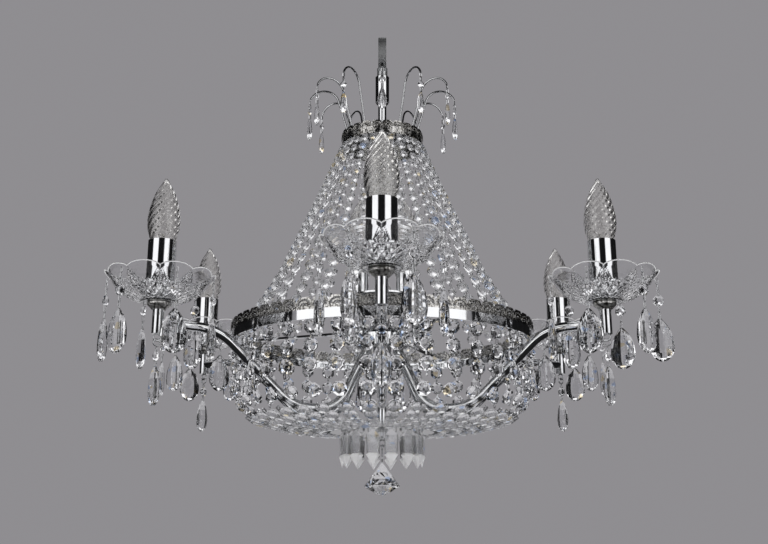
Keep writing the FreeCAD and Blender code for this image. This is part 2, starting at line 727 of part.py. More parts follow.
def make_prisms():
    """A ring of spear prisms under the base plate."""
    top = Vector(size.prism_circle, 0, -size.base_depth - size.seat_gap)
    half = size.prism_width / 2
    profile = [(0.0, size.prism_top_width / 2), (size.prism_shoulder, half),
               (size.prism_length - size.prism_point, half), (size.prism_length, size.bead_wire)]
    prism = hanging_string(top, profile, 6, size.prism_flatness)
    prisms = formed("base_prisms", turned_copies(prism, size.prism_count))
    lower(prisms)


# ---------------------------------------------------------------------------
# arms
# ---------------------------------------------------------------------------

CUP_TOP = "stub_top + cup_height"
DISH_FOOT = CUP_TOP + " + seat_gap"


def arm_path():
    """Centre line of an arm towards the front, from inside the hub to the stub."""
    root = Vector(0, -size.arm_root_radius, size.hub_level)
    corners = [Vector(0, -size.arm_inner_bend, -size.arm_dip),
               Vector(0, -size.arm_middle_bend, -size.arm_dip),
               Vector(0, -size.arm_outer_bend, size.arm_level)]
    inwards = (root - corners[0]).normalize()
    start = root + inwards * size.arm_grip
    end = Vector(0, -size.arm_reach, size.arm_level)
    sweeps = [size.arm_inner_sweep, size.arm_outer_sweep, size.arm_outer_sweep]
    edges = []
    current = start
    for index, (corner, sweep) in enumerate(zip(corners, sweeps)):
        following = (corners + [end])[index + 1]
        back = (current - corner).normalize()
        onward = (following - corner).normalize()
        half_turn = (math.pi - back.getAngle(onward)) / 2
        length = sweep * math.tan(half_turn)
        arc_start = corner + back * length
        arc_end = corner + onward * length
        to_centre = (back + onward).normalize()
        centre = corner + to_centre * (sweep / math.cos(half_turn))
        middle = centre - to_centre * sweep
        edges.append(Part.makeLine(current, arc_start))
        edges.append(Part.Arc(arc_start, middle, arc_end).toShape())
        current = arc_end
    edges.append(Part.makeLine(current, end))
    return Part.Wire(edges), start, (start - corners[0]).normalize()


def swept_tube(path, start, along, radius):
    """A round bar along the centre line of an arm."""
    section = Part.Wire(Part.makeCircle(radius, start, along))
    return path.makePipeShell([section], True, False)


def arm_solid():
    """A bent tube with its upright stub, nipple and loop, towards the front."""
    path, start, along = arm_path()
    tube = swept_tube(path, start, along, size.arm_tube_radius)
    bore = swept_tube(path, start, along, size.arm_tube_radius - size.arm_wall)
    axis = Vector(0, -size.arm_reach, 0)
    stub = Part.makeCylinder(size.stub_radius, size.stub_top - size.stub_bottom, axis + UP * size.stub_bottom)
    nipple = Part.makeCylinder(size.nipple_radius, size.nipple_height, axis + UP * size.stub_top)
    floor = size.stub_bottom + size.stub_floor
    nipple_top = size.stub_top + size.nipple_height
    way_up = Part.makeCylinder(size.wire_way_radius, nipple_top - floor, axis + UP * floor)
    loop = ring_loop(axis + UP * (size.stub_bottom - size.loop_radius), Vector(1, 0, 0))
    arm = tube.fuse([stub, nipple])
    return arm.cut([bore, way_up]).fuse(loop)


def make_arms():
    """Six arms round the hub."""
    arm = arm_solid()
    for number in range(ARM_COUNT):
        thing = formed("arm_%d" % (number + 1), [arm.copy()])
        thing.Placement = Placement(Vector(), Rotation(UP, number * ARM_STEP))
        lower(thing)


def make_hub():
    """The hub, with a slanted socket for each arm."""
    blank = turned_body("arm_hub_blank", [
        (TUBE_FIT, "hub_level"), ("hub_radius - hub_chamfer", "hub_level"),
        ("hub_radius", "hub_level + hub_chamfer"), ("hub_radius", "hub_level + hub_height - hub_chamfer"),
        ("hub_radius - hub_chamfer", "hub_level + hub_height"), (TUBE_FIT, "hub_level + hub_height")])
    _, start, along = arm_path()
    depth = size.arm_grip + size.fit_gap
    sockets = []
    for number in range(ARM_COUNT):
        socket = doc.addObject("Part::Cylinder", "hub_socket_%d" % (number + 1))
        bind(socket, "Radius", "arm_tube_radius + fit_gap")
        bind(socket, "Height", "arm_grip * 2")
        turn = Rotation(UP, number * ARM_STEP)
        slant = Rotation(UP, along * -1)
        socket.Placement = Placement(turn.multVec(start + along * size.fit_gap), turn.multiply(slant))
        sockets.append(socket)
    group = doc.addObject("Part::Compound", "hub_sockets")
    group.Links = sockets
    hub = doc.addObject("Part::Cut", "arm_hub")
    hub.Base = blank
    hub.Tool = group
    lower(hub)
    return register(hub, "arm_hub")


def dish_arc():
    """Centre, radius and three points of the outside of the bowl, as radius and height."""
    foot = value_of(DISH_FOOT)
    points = [Vector(size.dish_foot_radius, 0, foot),
              Vector(size.dish_middle_radius, 0, foot + size.dish_middle_rise),
              Vector(size.dish_radius, 0, foot + size.dish_rise)]
    circle = Part.Arc(*points).toShape().Curve
    return circle.Center, circle.Radius, points


def dish_floor():
    """Height of the flat floor inside a dish."""
    centre, radius, points = dish_arc()
    inner = centre + (points[0] - centre) * ((radius - size.dish_thickness) / radius)
    return inner.z


def dish_under_rim(distance):
    """Height of the outside of the bowl at a distance from its axis."""
    centre, radius, _ = dish_arc()
    return centre.z - math.sqrt(radius ** 2 - (distance - centre.x) ** 2)


def dish_solid():
    """The scalloped glass bowl round its own axis."""
    centre, radius, outside = dish_arc()
    share = (radius - size.dish_thickness) / radius
    inside = [centre + (point - centre) * share for point in outside]
    hole = size.nipple_radius + size.dish_hole_gap
    first = Vector(hole, 0, outside[0].z)
    last = Vector(hole, 0, inside[0].z)
    edges = [Part.makeLine(first, outside[0]), Part.Arc(*outside).toShape(),
             Part.makeLine(outside[2], inside[2]), Part.Arc(inside[2], inside[1], inside[0]).toShape(),
             Part.makeLine(inside[0], last), Part.makeLine(last, first)]
    bowl = Part.Face(Part.Wire(edges)).revolve(Vector(), UP, 360)
    notch = Part.makeCylinder(size.dish_notch, size.dish_radius, Vector(0, 0, outside[2].z), Vector(1, 0, 0))
    return bowl.cut(turned_copies(notch, size.dish_lobes, 180.0 / size.dish_lobes))


def dish_drop_solids(number):
    """The drops under the rim of a dish, one of which has turned on its wire."""
    reach = size.drop_circle
    top = Vector(reach, 0, dish_under_rim(reach - size.bead_wire) - size.seat_gap)
    profile = drop_profile(size.drop_wire, size.drop_bead, size.drop_link, size.drop_width, size.drop_length)
    drop = hanging_string(top, profile, 6, size.drop_flatness)
    count = int(size.drop_count)
    first = 90 + 180.0 / count
    drops = turned_copies(drop, count, first)
    turned = (number + 2) % count
    twisted = drop.rotated(top, UP, size.drop_twist)
    drops[turned] = twisted.rotated(Vector(), UP, first + turned * 360.0 / count)
    return drops


def stub_drop_solid():
    """The drop that hangs on a link under a stub."""
    link, end = link_under(size.stub_bottom, Vector(0, 1, 0))
    profile = drop_profile(size.loop_radius, size.drop_bead, size.link_length,
                           size.stub_drop_width, size.stub_drop_length)
    drop = hanging_string(Vector(0, 0, end), profile, 6, size.stub_drop_flatness)
    return drop.rotated(Vector(), UP, 90).fuse(link)


def cup_solid():
    """The cup under a dish."""
    foot = size.stub_top
    bore = size.nipple_radius + size.fit_gap
    outline = [(bore, 0), (size.cup_foot_radius, 0), (size.cup_radius, size.cup_height - size.cup_rim),
               (size.cup_radius, size.cup_height), (bore, size.cup_height)]
    face = flat_face([Vector(radius, 0, foot + height) for radius, height in outline])
    return face.revolve(Vector(), UP, 360)


def cover_bottom():
    """Height of the lower edge of a candle cover."""
    return dish_floor() + size.seat_gap


def bulb_solid(foot):
    """A candle bulb with its screw cap, whose lower end is at this height."""
    glass = foot + size.bulb_cap_length
    rises = [(size.bulb_cap_radius, 0), (size.bulb_waist_radius, size.bulb_waist_rise),
             (size.bulb_radius, size.bulb_belly_rise), (size.bulb_neck_radius, size.bulb_neck_rise),
             (size.bulb_tip_radius, size.bulb_glass_length)]
    points = [Vector(radius, 0, glass + rise) for radius, rise in rises]
    outline = Part.BSplineCurve()
    outline.interpolate(points)
    axis_low, axis_high = Vector(0, 0, foot), Vector(0, 0, points[-1].z)
    cap_low = Vector(size.bulb_cap_radius, 0, foot)
    edges = [Part.makeLine(axis_low, cap_low), Part.makeLine(cap_low, points[0]), outline.toShape(),
             Part.makeLine(points[-1], axis_high), Part.makeLine(axis_high, axis_low)]
    return Part.Face(Part.Wire(edges)).revolve(Vector(), UP, 360)


def holder_solid(radius, height, foot, flange_radius, flange):
    """A lampholder with a socket above and a bore for its nipple below."""
    body = Part.makeCylinder(radius, height, Vector(0, 0, foot))
    if flange_radius > radius:
        body = body.fuse(Part.makeCylinder(flange_radius, flange, Vector(0, 0, foot)))
    socket_floor = foot + height - size.socket_depth
    socket_radius = size.bulb_cap_radius + size.fit_gap
    socket = Part.makeCylinder(socket_radius, size.socket_depth, Vector(0, 0, socket_floor))
    grip = min(socket_floor - foot - flange / 2, size.nipple_height)
    nipple = Part.makeCylinder(size.nipple_radius + size.fit_gap, grip, Vector(0, 0, foot))
    return body.cut([socket, nipple])


def make_candles():
    """Cups, dishes, covers, lampholders, bulbs and drops of the six arms."""
    floor = cover_bottom()
    dish = dish_solid()
    stub_drop = stub_drop_solid()
    flange_radius = size.cover_radius - size.cover_wall - size.fit_gap
    holder = holder_solid(size.holder_radius, size.holder_height, floor, flange_radius, size.holder_flange)
    bulb = bulb_solid(floor + size.holder_height - size.socket_depth + size.bulb_cap_lift)
    cover_height = size.cover_top - floor
    cover = Part.makeCylinder(size.cover_radius, cover_height, UP * floor)
    cover = cover.cut(Part.makeCylinder(size.cover_radius - size.cover_wall, cover_height, UP * floor))
    cup = cup_solid()
    cups, holders = [], []
    for number in range(ARM_COUNT):
        azimuth = number * ARM_STEP
        for label, solids in (("dish", [dish]), ("dish_drops", dish_drop_solids(number)),
                              ("candle_cover", [cover]), ("bulb", [bulb]), ("stub_drop", [stub_drop])):
            thing = formed("%s_%d" % (label, number + 1), [solid.copy() for solid in solids])
            stand_on_arm(thing, azimuth)
        place = Placement(Rotation(UP, azimuth).multVec(Vector(0, -size.arm_reach, 0)), Rotation(UP, azimuth))
        cups.append(cup.transformed(place.toMatrix()))
        holders.append(holder.transformed(place.toMatrix()))
    lower(formed("dish_cups", cups))
    inner_foot = size.inner_level + size.inner_plate_thickness
    lamp_axes = [Vector(size.inner_circle, 0, 0), Vector(-size.inner_circle, 0, 0)]
    inner_radius = size.inner_cover_radius - size.cover_wall
    inner = holder_solid(inner_radius - size.fit_gap, size.inner_holder_height, inner_foot, 0,
                         size.holder_flange)
    tube = Part.makeCylinder(size.inner_cover_radius, size.inner_cover_length, UP * inner_foot)
    tube = tube.cut(Part.makeCylinder(inner_radius, size.inner_cover_length, UP * inner_foot))
    lamp = bulb_solid(inner_foot + size.inner_holder_height - size.socket_depth + size.bulb_cap_lift)
    holders += [inner.translated(axis) for axis in lamp_axes]
    lower(formed("lampholders", holders))
    lower(formed("inner_lamp_covers", [tube.translated(axis) for axis in lamp_axes]))
    lower(formed("inner_bulbs", [lamp.translated(axis) for axis in lamp_axes]))


# ---------------------------------------------------------------------------
# the whole chandelier
# ---------------------------------------------------------------------------

def check_and_export():
    """Stops on any failed object or bad shape, then writes one file for each sub-part."""
    doc.recompute()
    for thing in doc.Objects:
        if "Invalid" in thing.State or "Error" in thing.State:
            raise RuntimeError("object failed: " + thing.Name)
    os.makedirs("parts", exist_ok=True)
    for thing in NODES:
        shape = thing.Shape
        if shape.isNull() or not shape.isValid() or not shape.Solids:
            raise RuntimeError("bad shape: " + thing.Label)
    for thing in NODES:
        thing.Shape.exportStep("parts/%s.step" % thing.Label)


make_hanging_eye()
make_collar()
make_centre_tube()
make_crown_plate()
make_crown_ring()
make_tendrils()
make_tendril_drops()
make_tent()
make_main_ring()
make_gallery()
make_spokes()
make_inner_plate()
make_hub()
make_basket()
make_base_plate()
make_prisms()
make_finial_cap()
make_finial()
make_nuts()
make_arms()
make_candles()
check_and_export()
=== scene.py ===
"""The looks of a crystal basket chandelier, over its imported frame.

Lengths are metres and angles radians, unless a name says otherwise. Heights and circles that the frame
already holds are read from the boxes of its nodes. Azimuths start at the front and grow to the right.
"""
import logging
import math
from dataclasses import dataclass, field
from enum import Enum
from functools import cached_property
from typing import Any, Sequence

import bmesh
import bpy
from mathutils import Matrix, Vector


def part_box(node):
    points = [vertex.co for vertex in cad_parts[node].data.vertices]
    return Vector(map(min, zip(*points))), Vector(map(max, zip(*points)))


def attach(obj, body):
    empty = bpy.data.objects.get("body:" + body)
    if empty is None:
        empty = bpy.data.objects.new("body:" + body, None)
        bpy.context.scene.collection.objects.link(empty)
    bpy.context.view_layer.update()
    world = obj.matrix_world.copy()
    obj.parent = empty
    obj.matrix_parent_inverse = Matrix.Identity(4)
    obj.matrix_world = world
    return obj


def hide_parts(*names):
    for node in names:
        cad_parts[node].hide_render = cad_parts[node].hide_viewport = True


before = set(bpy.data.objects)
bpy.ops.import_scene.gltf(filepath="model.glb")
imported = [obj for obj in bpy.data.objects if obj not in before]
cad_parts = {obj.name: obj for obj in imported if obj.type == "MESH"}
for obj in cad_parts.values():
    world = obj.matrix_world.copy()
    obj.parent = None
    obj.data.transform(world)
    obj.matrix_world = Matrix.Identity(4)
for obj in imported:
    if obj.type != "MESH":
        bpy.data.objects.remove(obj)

LOG = logging.getLogger("chandelier")
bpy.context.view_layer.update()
UP = Vector((0.0, 0.0, 1.0))
FULL_TURN = 2.0 * math.pi
QUARTER_TURN = math.pi / 2
ARMS = 6
LINK_PITCH = 0.007
LINK_WIDTH = 0.0034
LINK_CORNERS = 10
WIRE_SIDES = 5
HOOK_LENGTH = 0.0088
HOOK_WIRE = 0.0008

Colour = Point = tuple[float, float, float]
Pair = tuple[float, float]
Piece = bpy.types.Object
Socket = bpy.types.NodeSocket


# --- places ---


def polar(radius: float, angle: float, height: float) -> Vector:
    """Gives the point at a radius, an angle from the X axis and a height."""
    return Vector((radius * math.cos(angle), radius * math.sin(angle), height))


def round_ring(radius: float, height: float, sides: int, offset: float = 0.0) -> list[Vector]:
    """Gives a ring of corners round the upright axis; the offset turns it by a share of a side."""
    return [polar(radius, FULL_TURN * (side + offset) / sides, height) for side in range(sides)]


def turned(angle: float, place: Vector = Vector()) -> Matrix:
    """Gives the placing that turns a shape round the upright axis and then moves it."""
    return Matrix.Translation(place) @ Matrix.Rotation(angle, 4, "Z")


def facing_out(radius: float, height: float = 0.0, twist: float = 0.0) -> Matrix:
    """Gives the placing of a flat stone on the X axis that faces outwards, but for its twist."""
    return turned(QUARTER_TURN + twist, Vector((radius, 0.0, height)))


def lowered(depth: float) -> Matrix:
    """Gives the placing that lowers a shape."""
    return Matrix.Translation(UP * -depth)


def candle_place(number: int, height: float) -> Matrix:
    """Gives the placing on a candle's axis, turned as its arm is.

    Args:
        number: The arm's number, from 1.
        height: The height on the axis.

    Returns:
        The placing.
    """
    low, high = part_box(f"candle_cover_{number}")
    middle = (low + high) / 2
    return turned((number - 1) * FULL_TURN / ARMS, Vector((middle.x, middle.y, height)))


# --- nodes ---


class Wiring:
    """Adds nodes to a node tree and joins them, one call for each node."""

    def __init__(self, tree: bpy.types.NodeTree) -> None:
        """Keeps the tree that the nodes go into."""
        self.tree = tree

    def node(self, kind: str, inputs: dict[Any, Any] | None = None, **settings: Any) -> bpy.types.Node:
        """Adds one node.

        Args:
            kind: The node's type name.
            inputs: A value or another node's socket for each input, by its name or number.
            **settings: Properties of the node itself, set before its inputs.

        Returns:
            The new node.
        """
        node = self.tree.nodes.new(kind)
        for name, value in settings.items():
            setattr(node, name, value)
        for key, value in (inputs or {}).items():
            socket = node.inputs[key]
            if isinstance(value, Socket):
                self.tree.links.new(value, socket)
            else:
                socket.default_value = (*value, 1.0) if socket.type == "RGBA" else value
        return node

    def add(self, kind: str, inputs: dict[Any, Any] | None = None, output: int | str = 0,
            **settings: Any) -> Socket:
        """Adds one node, as node does, and gives one of its outputs."""
        return self.node(kind, inputs, **settings).outputs[output]

    def group(self, tree: bpy.types.NodeTree, inputs: dict[str, Any]) -> Any:
        """Places a shared shader group and gives its outputs by name."""
        return self.node("ShaderNodeGroup", inputs, node_tree=tree).outputs

    def maths(self, operation: str, *terms: Any) -> Socket:
        """Works out a sum, product or other operation on numbers or sockets."""
        return self.add("ShaderNodeMath", dict(enumerate(terms)), operation=operation)

    def share(self, value: Socket, low: Any, high: Any) -> Socket:
        """Gives how far a value is on its way from a low to a high one, between 0 and 1."""
        return self.add("ShaderNodeMapRange", {"Value": value, "From Min": low, "From Max": high})

    def mix(self, factor: Socket, first: Any, second: Any) -> Socket:
        """Mixes two colours."""
        return self.add("ShaderNodeMix", {"Factor": factor, "A": first, "B": second}, output=2, data_type="RGBA")

    def place(self) -> Socket:
        """Gives the place on the object, in its own coordinates."""
        return self.add("ShaderNodeTexCoord", output="Object")


class GroupKind(Enum):
    """The two kinds of node group that are built here."""

    SHADER = "ShaderNodeTree"
    GEOMETRY = "GeometryNodeTree"


def new_group(name: str, kind: GroupKind, inputs: dict[str, Any],
              outputs: dict[str, str]) -> tuple[bpy.types.NodeTree, Any]:
    """Starts a node group with named sockets.

    Args:
        name: The group's name.
        kind: Whether it shades or makes geometry.
        inputs: For each input the type of its socket, or a number that is its default.
        outputs: The type of each output's socket.

    Returns:
        The group, and its inputs by name.
    """
    tree = bpy.data.node_groups.new(name, kind.value)
    for in_out, sockets in (("INPUT", inputs), ("OUTPUT", outputs)):
        for label, value in sockets.items():
            socket_type = value if isinstance(value, str) else "Int" if isinstance(value, int) else "Float"
            socket = tree.interface.new_socket(label, in_out=in_out, socket_type="NodeSocket" + socket_type)
            if not isinstance(value, str):
                socket.default_value = value
    return tree, tree.nodes.new("NodeGroupInput").outputs


# --- finishes ---


def handling_marks_group() -> bpy.types.NodeTree:
    """Builds the group that every finish shares: faint smears, and ripples in the surface.

    Returns:
        A shader group whose outputs are a roughness, a mask of the marks and a normal.
    """
    tree, given = new_group(
        "handling_marks", GroupKind.SHADER,
        {"Marks Scale": 60.0, "Marks Start": 0.35, "Marks End": 0.7, "Roughness": 0.05, "Spread": 0.05,
         "Ripple Scale": 200.0, "Ripple Depth": 0.0},
        {"Roughness": "Float", "Mask": "Float", "Normal": "Vector"})
    wiring = Wiring(tree)
    place = wiring.place()
    marks = wiring.add("ShaderNodeTexNoise", {
        "Vector": place, "Scale": given["Marks Scale"], "Detail": 4.0, "Roughness": 0.6})
    mask = wiring.share(marks, given["Marks Start"], given["Marks End"])
    spread = wiring.maths("MULTIPLY", mask, given["Spread"])
    waves = wiring.add("ShaderNodeTexNoise", {"Vector": place, "Scale": given["Ripple Scale"], "Detail": 1.0})
    ripple = wiring.add("ShaderNodeBump", {
        "Strength": 1.0, "Distance": given["Ripple Depth"], "Height": waves})
    wiring.node("NodeGroupOutput", {
        "Roughness": wiring.maths("ADD", spread, given["Roughness"]), "Mask": mask, "Normal": ripple})
    return tree


def cast_grain_group() -> bpy.types.NodeTree:
    """Builds the group that the cast metals share: rounded grains with hollows between them.

    Returns:
        A shader group whose outputs are a mask of the hollows and a normal.
    """
    tree, given = new_group(
        "cast_grain", GroupKind.SHADER,
        {"Scale": 500.0, "Depth": 0.0003, "Strength": 0.4, "Hollow Start": 0.4, "Hollow End": 0.8,
         "Normal": "Vector"},
        {"Hollows": "Float", "Normal": "Vector"})
    wiring = Wiring(tree)
    grains = wiring.add("ShaderNodeTexVoronoi", {"Vector": wiring.place(), "Scale": given["Scale"]})
    relief = wiring.add("ShaderNodeBump", {
        "Strength": given["Strength"], "Distance": given["Depth"], "Height": grains,
        "Normal": given["Normal"]}, invert=True)
    hollows = wiring.share(grains, given["Hollow Start"], given["Hollow End"])
    wiring.node("NodeGroupOutput", {"Hollows": hollows, "Normal": relief})
    return tree


def painted_dispersion_glints_group() -> bpy.types.NodeTree:
    """Builds the group that all lead crystal shares: painted dispersion glints, a few small places tinted in one of
    two colours.

    Returns:
        A shader group whose outputs are a mask of the painted glints and one of the blue cells.
    """
    tree, given = new_group(
        "painted_dispersion_glints", GroupKind.SHADER, {"Scale": 170.0, "Share": 0.035, "Blue Share": 0.6},
        {"Sparks": "Float", "Blue": "Float"})
    wiring = Wiring(tree)
    # Painted dispersion glints: random cells where the glass colour is tinted, standing in for the coloured fire of
    # cut crystal.
    cells = wiring.add("ShaderNodeTexVoronoi", {"Vector": wiring.place(), "Scale": given["Scale"]}, "Color")
    chances = wiring.node("ShaderNodeSeparateColor", {"Color": cells}).outputs
    wiring.node("NodeGroupOutput", {
        "Sparks": wiring.maths("LESS_THAN", chances["Red"], given["Share"]),
        "Blue": wiring.maths("LESS_THAN", chances["Green"], given["Blue Share"])})
    return tree


HANDLING_MARKS = handling_marks_group()
CAST_GRAIN = cast_grain_group()
PAINTED_DISPERSION_GLINTS = painted_dispersion_glints_group()


@dataclass(frozen=True)
class Finish:
    """What all finishes have: a name, faint marks of handling and a slight ripple."""

    name: str
    colour: Colour
    marked_colour: Colour
    roughness: float
    roughness_spread: float
    slot: str = ""
    marks_scale: float = 60.0
    ripple_scale: float = 200.0
    ripple_depth: float = 0.0

    @cached_property
    def material(self) -> bpy.types.Material:
        """Builds the material, the first time that it is asked for.

        Returns:
            A material whose colour, roughness and normal come from nodes.
        """
        material = bpy.data.materials.new(self.name)
        material.use_nodes = True
        material.diffuse_color = (*self.colour, 1.0)
        material.node_tree.nodes.clear()
        wiring = Wiring(material.node_tree)
        marks = wiring.group(HANDLING_MARKS, {
            "Marks Scale": self.marks_scale, "Roughness": self.roughness, "Spread": self.roughness_spread,
            "Ripple Scale": self.ripple_scale, "Ripple Depth": self.ripple_depth})
        plain = wiring.mix(marks["Mask"], self.colour, self.marked_colour)
        colour, normal = self.worked(wiring, plain, marks["Normal"])
        surface = wiring.add("ShaderNodeBsdfPrincipled", {
            "Base Color": colour, "Roughness": marks["Roughness"], "Normal": normal, **self.constants()})
        wiring.node("ShaderNodeOutputMaterial", {"Surface": surface})
        return material

    def worked(self, wiring: Wiring, colour: Socket, normal: Socket) -> tuple[Socket, Socket]:
        """Gives the colour and the normal, which a finish with a pattern of its own changes."""
        return colour, normal

    def constants(self) -> dict[str, float]:
        """Gives what is the same all over the surface."""
        return {}


@dataclass(frozen=True)
class Metal(Finish):
    """A bare or plated metal."""

    def constants(self) -> dict[str, float]:
        """Makes the surface metal."""
        return {"Metallic": 1.0}


@dataclass(frozen=True)
class AntiqueMetal(Metal):
    """A cast metal, dark in its hollows and rubbed bright on its ridges."""

    hollow_colour: Colour = (0.10, 0.095, 0.085)
    grain_scale: float = 500.0
    grain_depth: float = 0.0003
    grain_strength: float = 0.4

    def worked(self, wiring: Wiring, colour: Socket, normal: Socket) -> tuple[Socket, Socket]:
        """Raises the grains of the casting and darkens the hollows between them.

        Args:
            wiring: The material's wiring.
            colour: The colour of the grains.
            normal: The normal of the surface without them.

        Returns:
            The colour and the normal with the grains.
        """
        grain = wiring.group(CAST_GRAIN, {
            "Scale": self.grain_scale, "Depth": self.grain_depth, "Strength": self.grain_strength, "Normal": normal})
        return wiring.mix(grain["Hollows"], colour, self.hollow_colour), grain["Normal"]


@dataclass(frozen=True)
class Glass(Finish):
    """Clear glass or lead crystal."""

    refraction: float = 1.5
    clearness: float = 1.0

    def constants(self) -> dict[str, float]:
        """Makes the surface clear."""
        return {"Metallic": 0.0, "Transmission Weight": self.clearness, "IOR": self.refraction}


@dataclass(frozen=True)
class GlintPaintedGlass(Glass):
    """Lead crystal, with painted dispersion glints: a few small places tinted blue or amber."""

    spark_scale: float = 170.0
    spark_share: float = 0.035
    blue_share: float = 0.6
    # Colours of the painted dispersion glints.
    blue: Colour = (0.45, 0.62, 1.0)
    amber: Colour = (1.0, 0.80, 0.45)

    def worked(self, wiring: Wiring, colour: Socket, normal: Socket) -> tuple[Socket, Socket]:
        """Paints dispersion glints by tinting a few small places.

        Args:
            wiring: The material's wiring.
            colour: The colour of the rest.
            normal: The normal of the surface.

        Returns:
            The colour with its painted glints, and the same normal.
        """
        # Paints the dispersion glints into the glass colour.
        cells = wiring.group(PAINTED_DISPERSION_GLINTS, {
            "Scale": self.spark_scale, "Share": self.spark_share, "Blue Share": self.blue_share})
        return wiring.mix(cells["Sparks"], colour, wiring.mix(cells["Blue"], self.amber, self.blue)), normal


@dataclass(frozen=True)
class Plastic(Finish):
    """A moulded plastic."""

    def constants(self) -> dict[str, float]:
        """Gives the plastic a dull sheen."""
        return {"Specular IOR Level": 0.4}


CHROME = Metal("polished_chrome", (0.83, 0.84, 0.85), (0.76, 0.77, 0.78), 0.035, 0.05, "chrome",
               ripple_scale=60.0, ripple_depth=0.00002)
SATIN = Metal("satin_chrome", (0.83, 0.84, 0.85), (0.74, 0.75, 0.76), 0.38, 0.1, "chrome")
ANTIQUE = AntiqueMetal("antique_silver", (0.74, 0.73, 0.71), (0.50, 0.49, 0.46), 0.14, 0.12, "silvered_metal",
                       marks_scale=90.0)
CAST_CUP = AntiqueMetal("cast_cup_silver", (0.90, 0.89, 0.87), (0.78, 0.77, 0.74), 0.38, 0.15, "silvered_metal",
                        marks_scale=90.0, grain_scale=320.0, grain_depth=0.0012)
ZINC = Metal("bright_zinc", (0.66, 0.67, 0.68), (0.52, 0.53, 0.54), 0.25, 0.15, "steel")
BRASS = Metal("nickelled_brass", (0.72, 0.68, 0.58), (0.55, 0.50, 0.40), 0.18, 0.15, "steel")
TUNGSTEN = Metal("tungsten_wire", (0.30, 0.29, 0.28), (0.20, 0.19, 0.18), 0.35, 0.1, "steel")
CRYSTAL = GlintPaintedGlass("cut_crystal", (0.985, 0.99, 1.0), (0.96, 0.965, 0.975), 0.0, 0.015, "crystal",
                        refraction=1.55, ripple_scale=90.0, ripple_depth=0.00004)
SOFT_CRYSTAL = GlintPaintedGlass("pressed_crystal", (0.97, 0.975, 0.985), (0.94, 0.945, 0.955), 0.16, 0.08,
                             "crystal", ripple_scale=90.0, ripple_depth=0.00004)
# Whitened, half-clear glass on the prisms' points: a painted highlight for their bright white glint.
PAINTED_TIP_HIGHLIGHT = Glass("prism_tip_painted_highlight", (1.0, 1.0, 1.0), (0.97, 0.97, 0.98), 0.35, 0.1, "crystal",
                     clearness=0.45)
DISH_GLASS = Glass("pressed_dish_glass", (0.985, 0.985, 0.99), (0.96, 0.965, 0.975), 0.0, 0.01, "dish_glass",
                   ripple_scale=70.0, ripple_depth=0.00006)
EDGE_GLASS = Glass("rounded_rim_glass", (1.0, 1.0, 1.0), (0.98, 0.98, 0.99), 0.5, 0.1, "dish_glass")
BULB_GLASS = Glass("bulb_glass", (0.985, 0.98, 0.965), (0.96, 0.955, 0.935), 0.0, 0.01, "bulb_glass",
                   ripple_scale=80.0, ripple_depth=0.00002)
HOLDER_PLASTIC = Plastic("holder_plastic", (0.05, 0.05, 0.052), (0.09, 0.09, 0.09), 0.4, 0.2, "holder_plastic")


# --- pieces ---


def in_scene(name: str, data: bpy.types.ID) -> Piece:
    """Puts a mesh, lamp or camera in the scene as an object.

    Args:
        name: The object's name.
        data: What it shows.

    Returns:
        The new object.
    """
    thing = bpy.data.objects.new(name, data)
    bpy.context.scene.collection.objects.link(thing)
    return thing


def hang(piece: Piece, finish: Finish, body: str, *nodes: str) -> Piece:
    """Lets a piece ride on its body and stand for its nodes. A clear one casts no hard shadow.

    Args:
        piece: The piece.
        finish: Its finish; a clear one casts no hard shadow.
        body: The body that carries it.
        *nodes: The nodes that it stands for.

    Returns:
        The piece.
    """
    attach(piece, body)
    if nodes:
        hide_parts(*nodes)
    piece.visible_shadow = not isinstance(finish, Glass)
    return piece


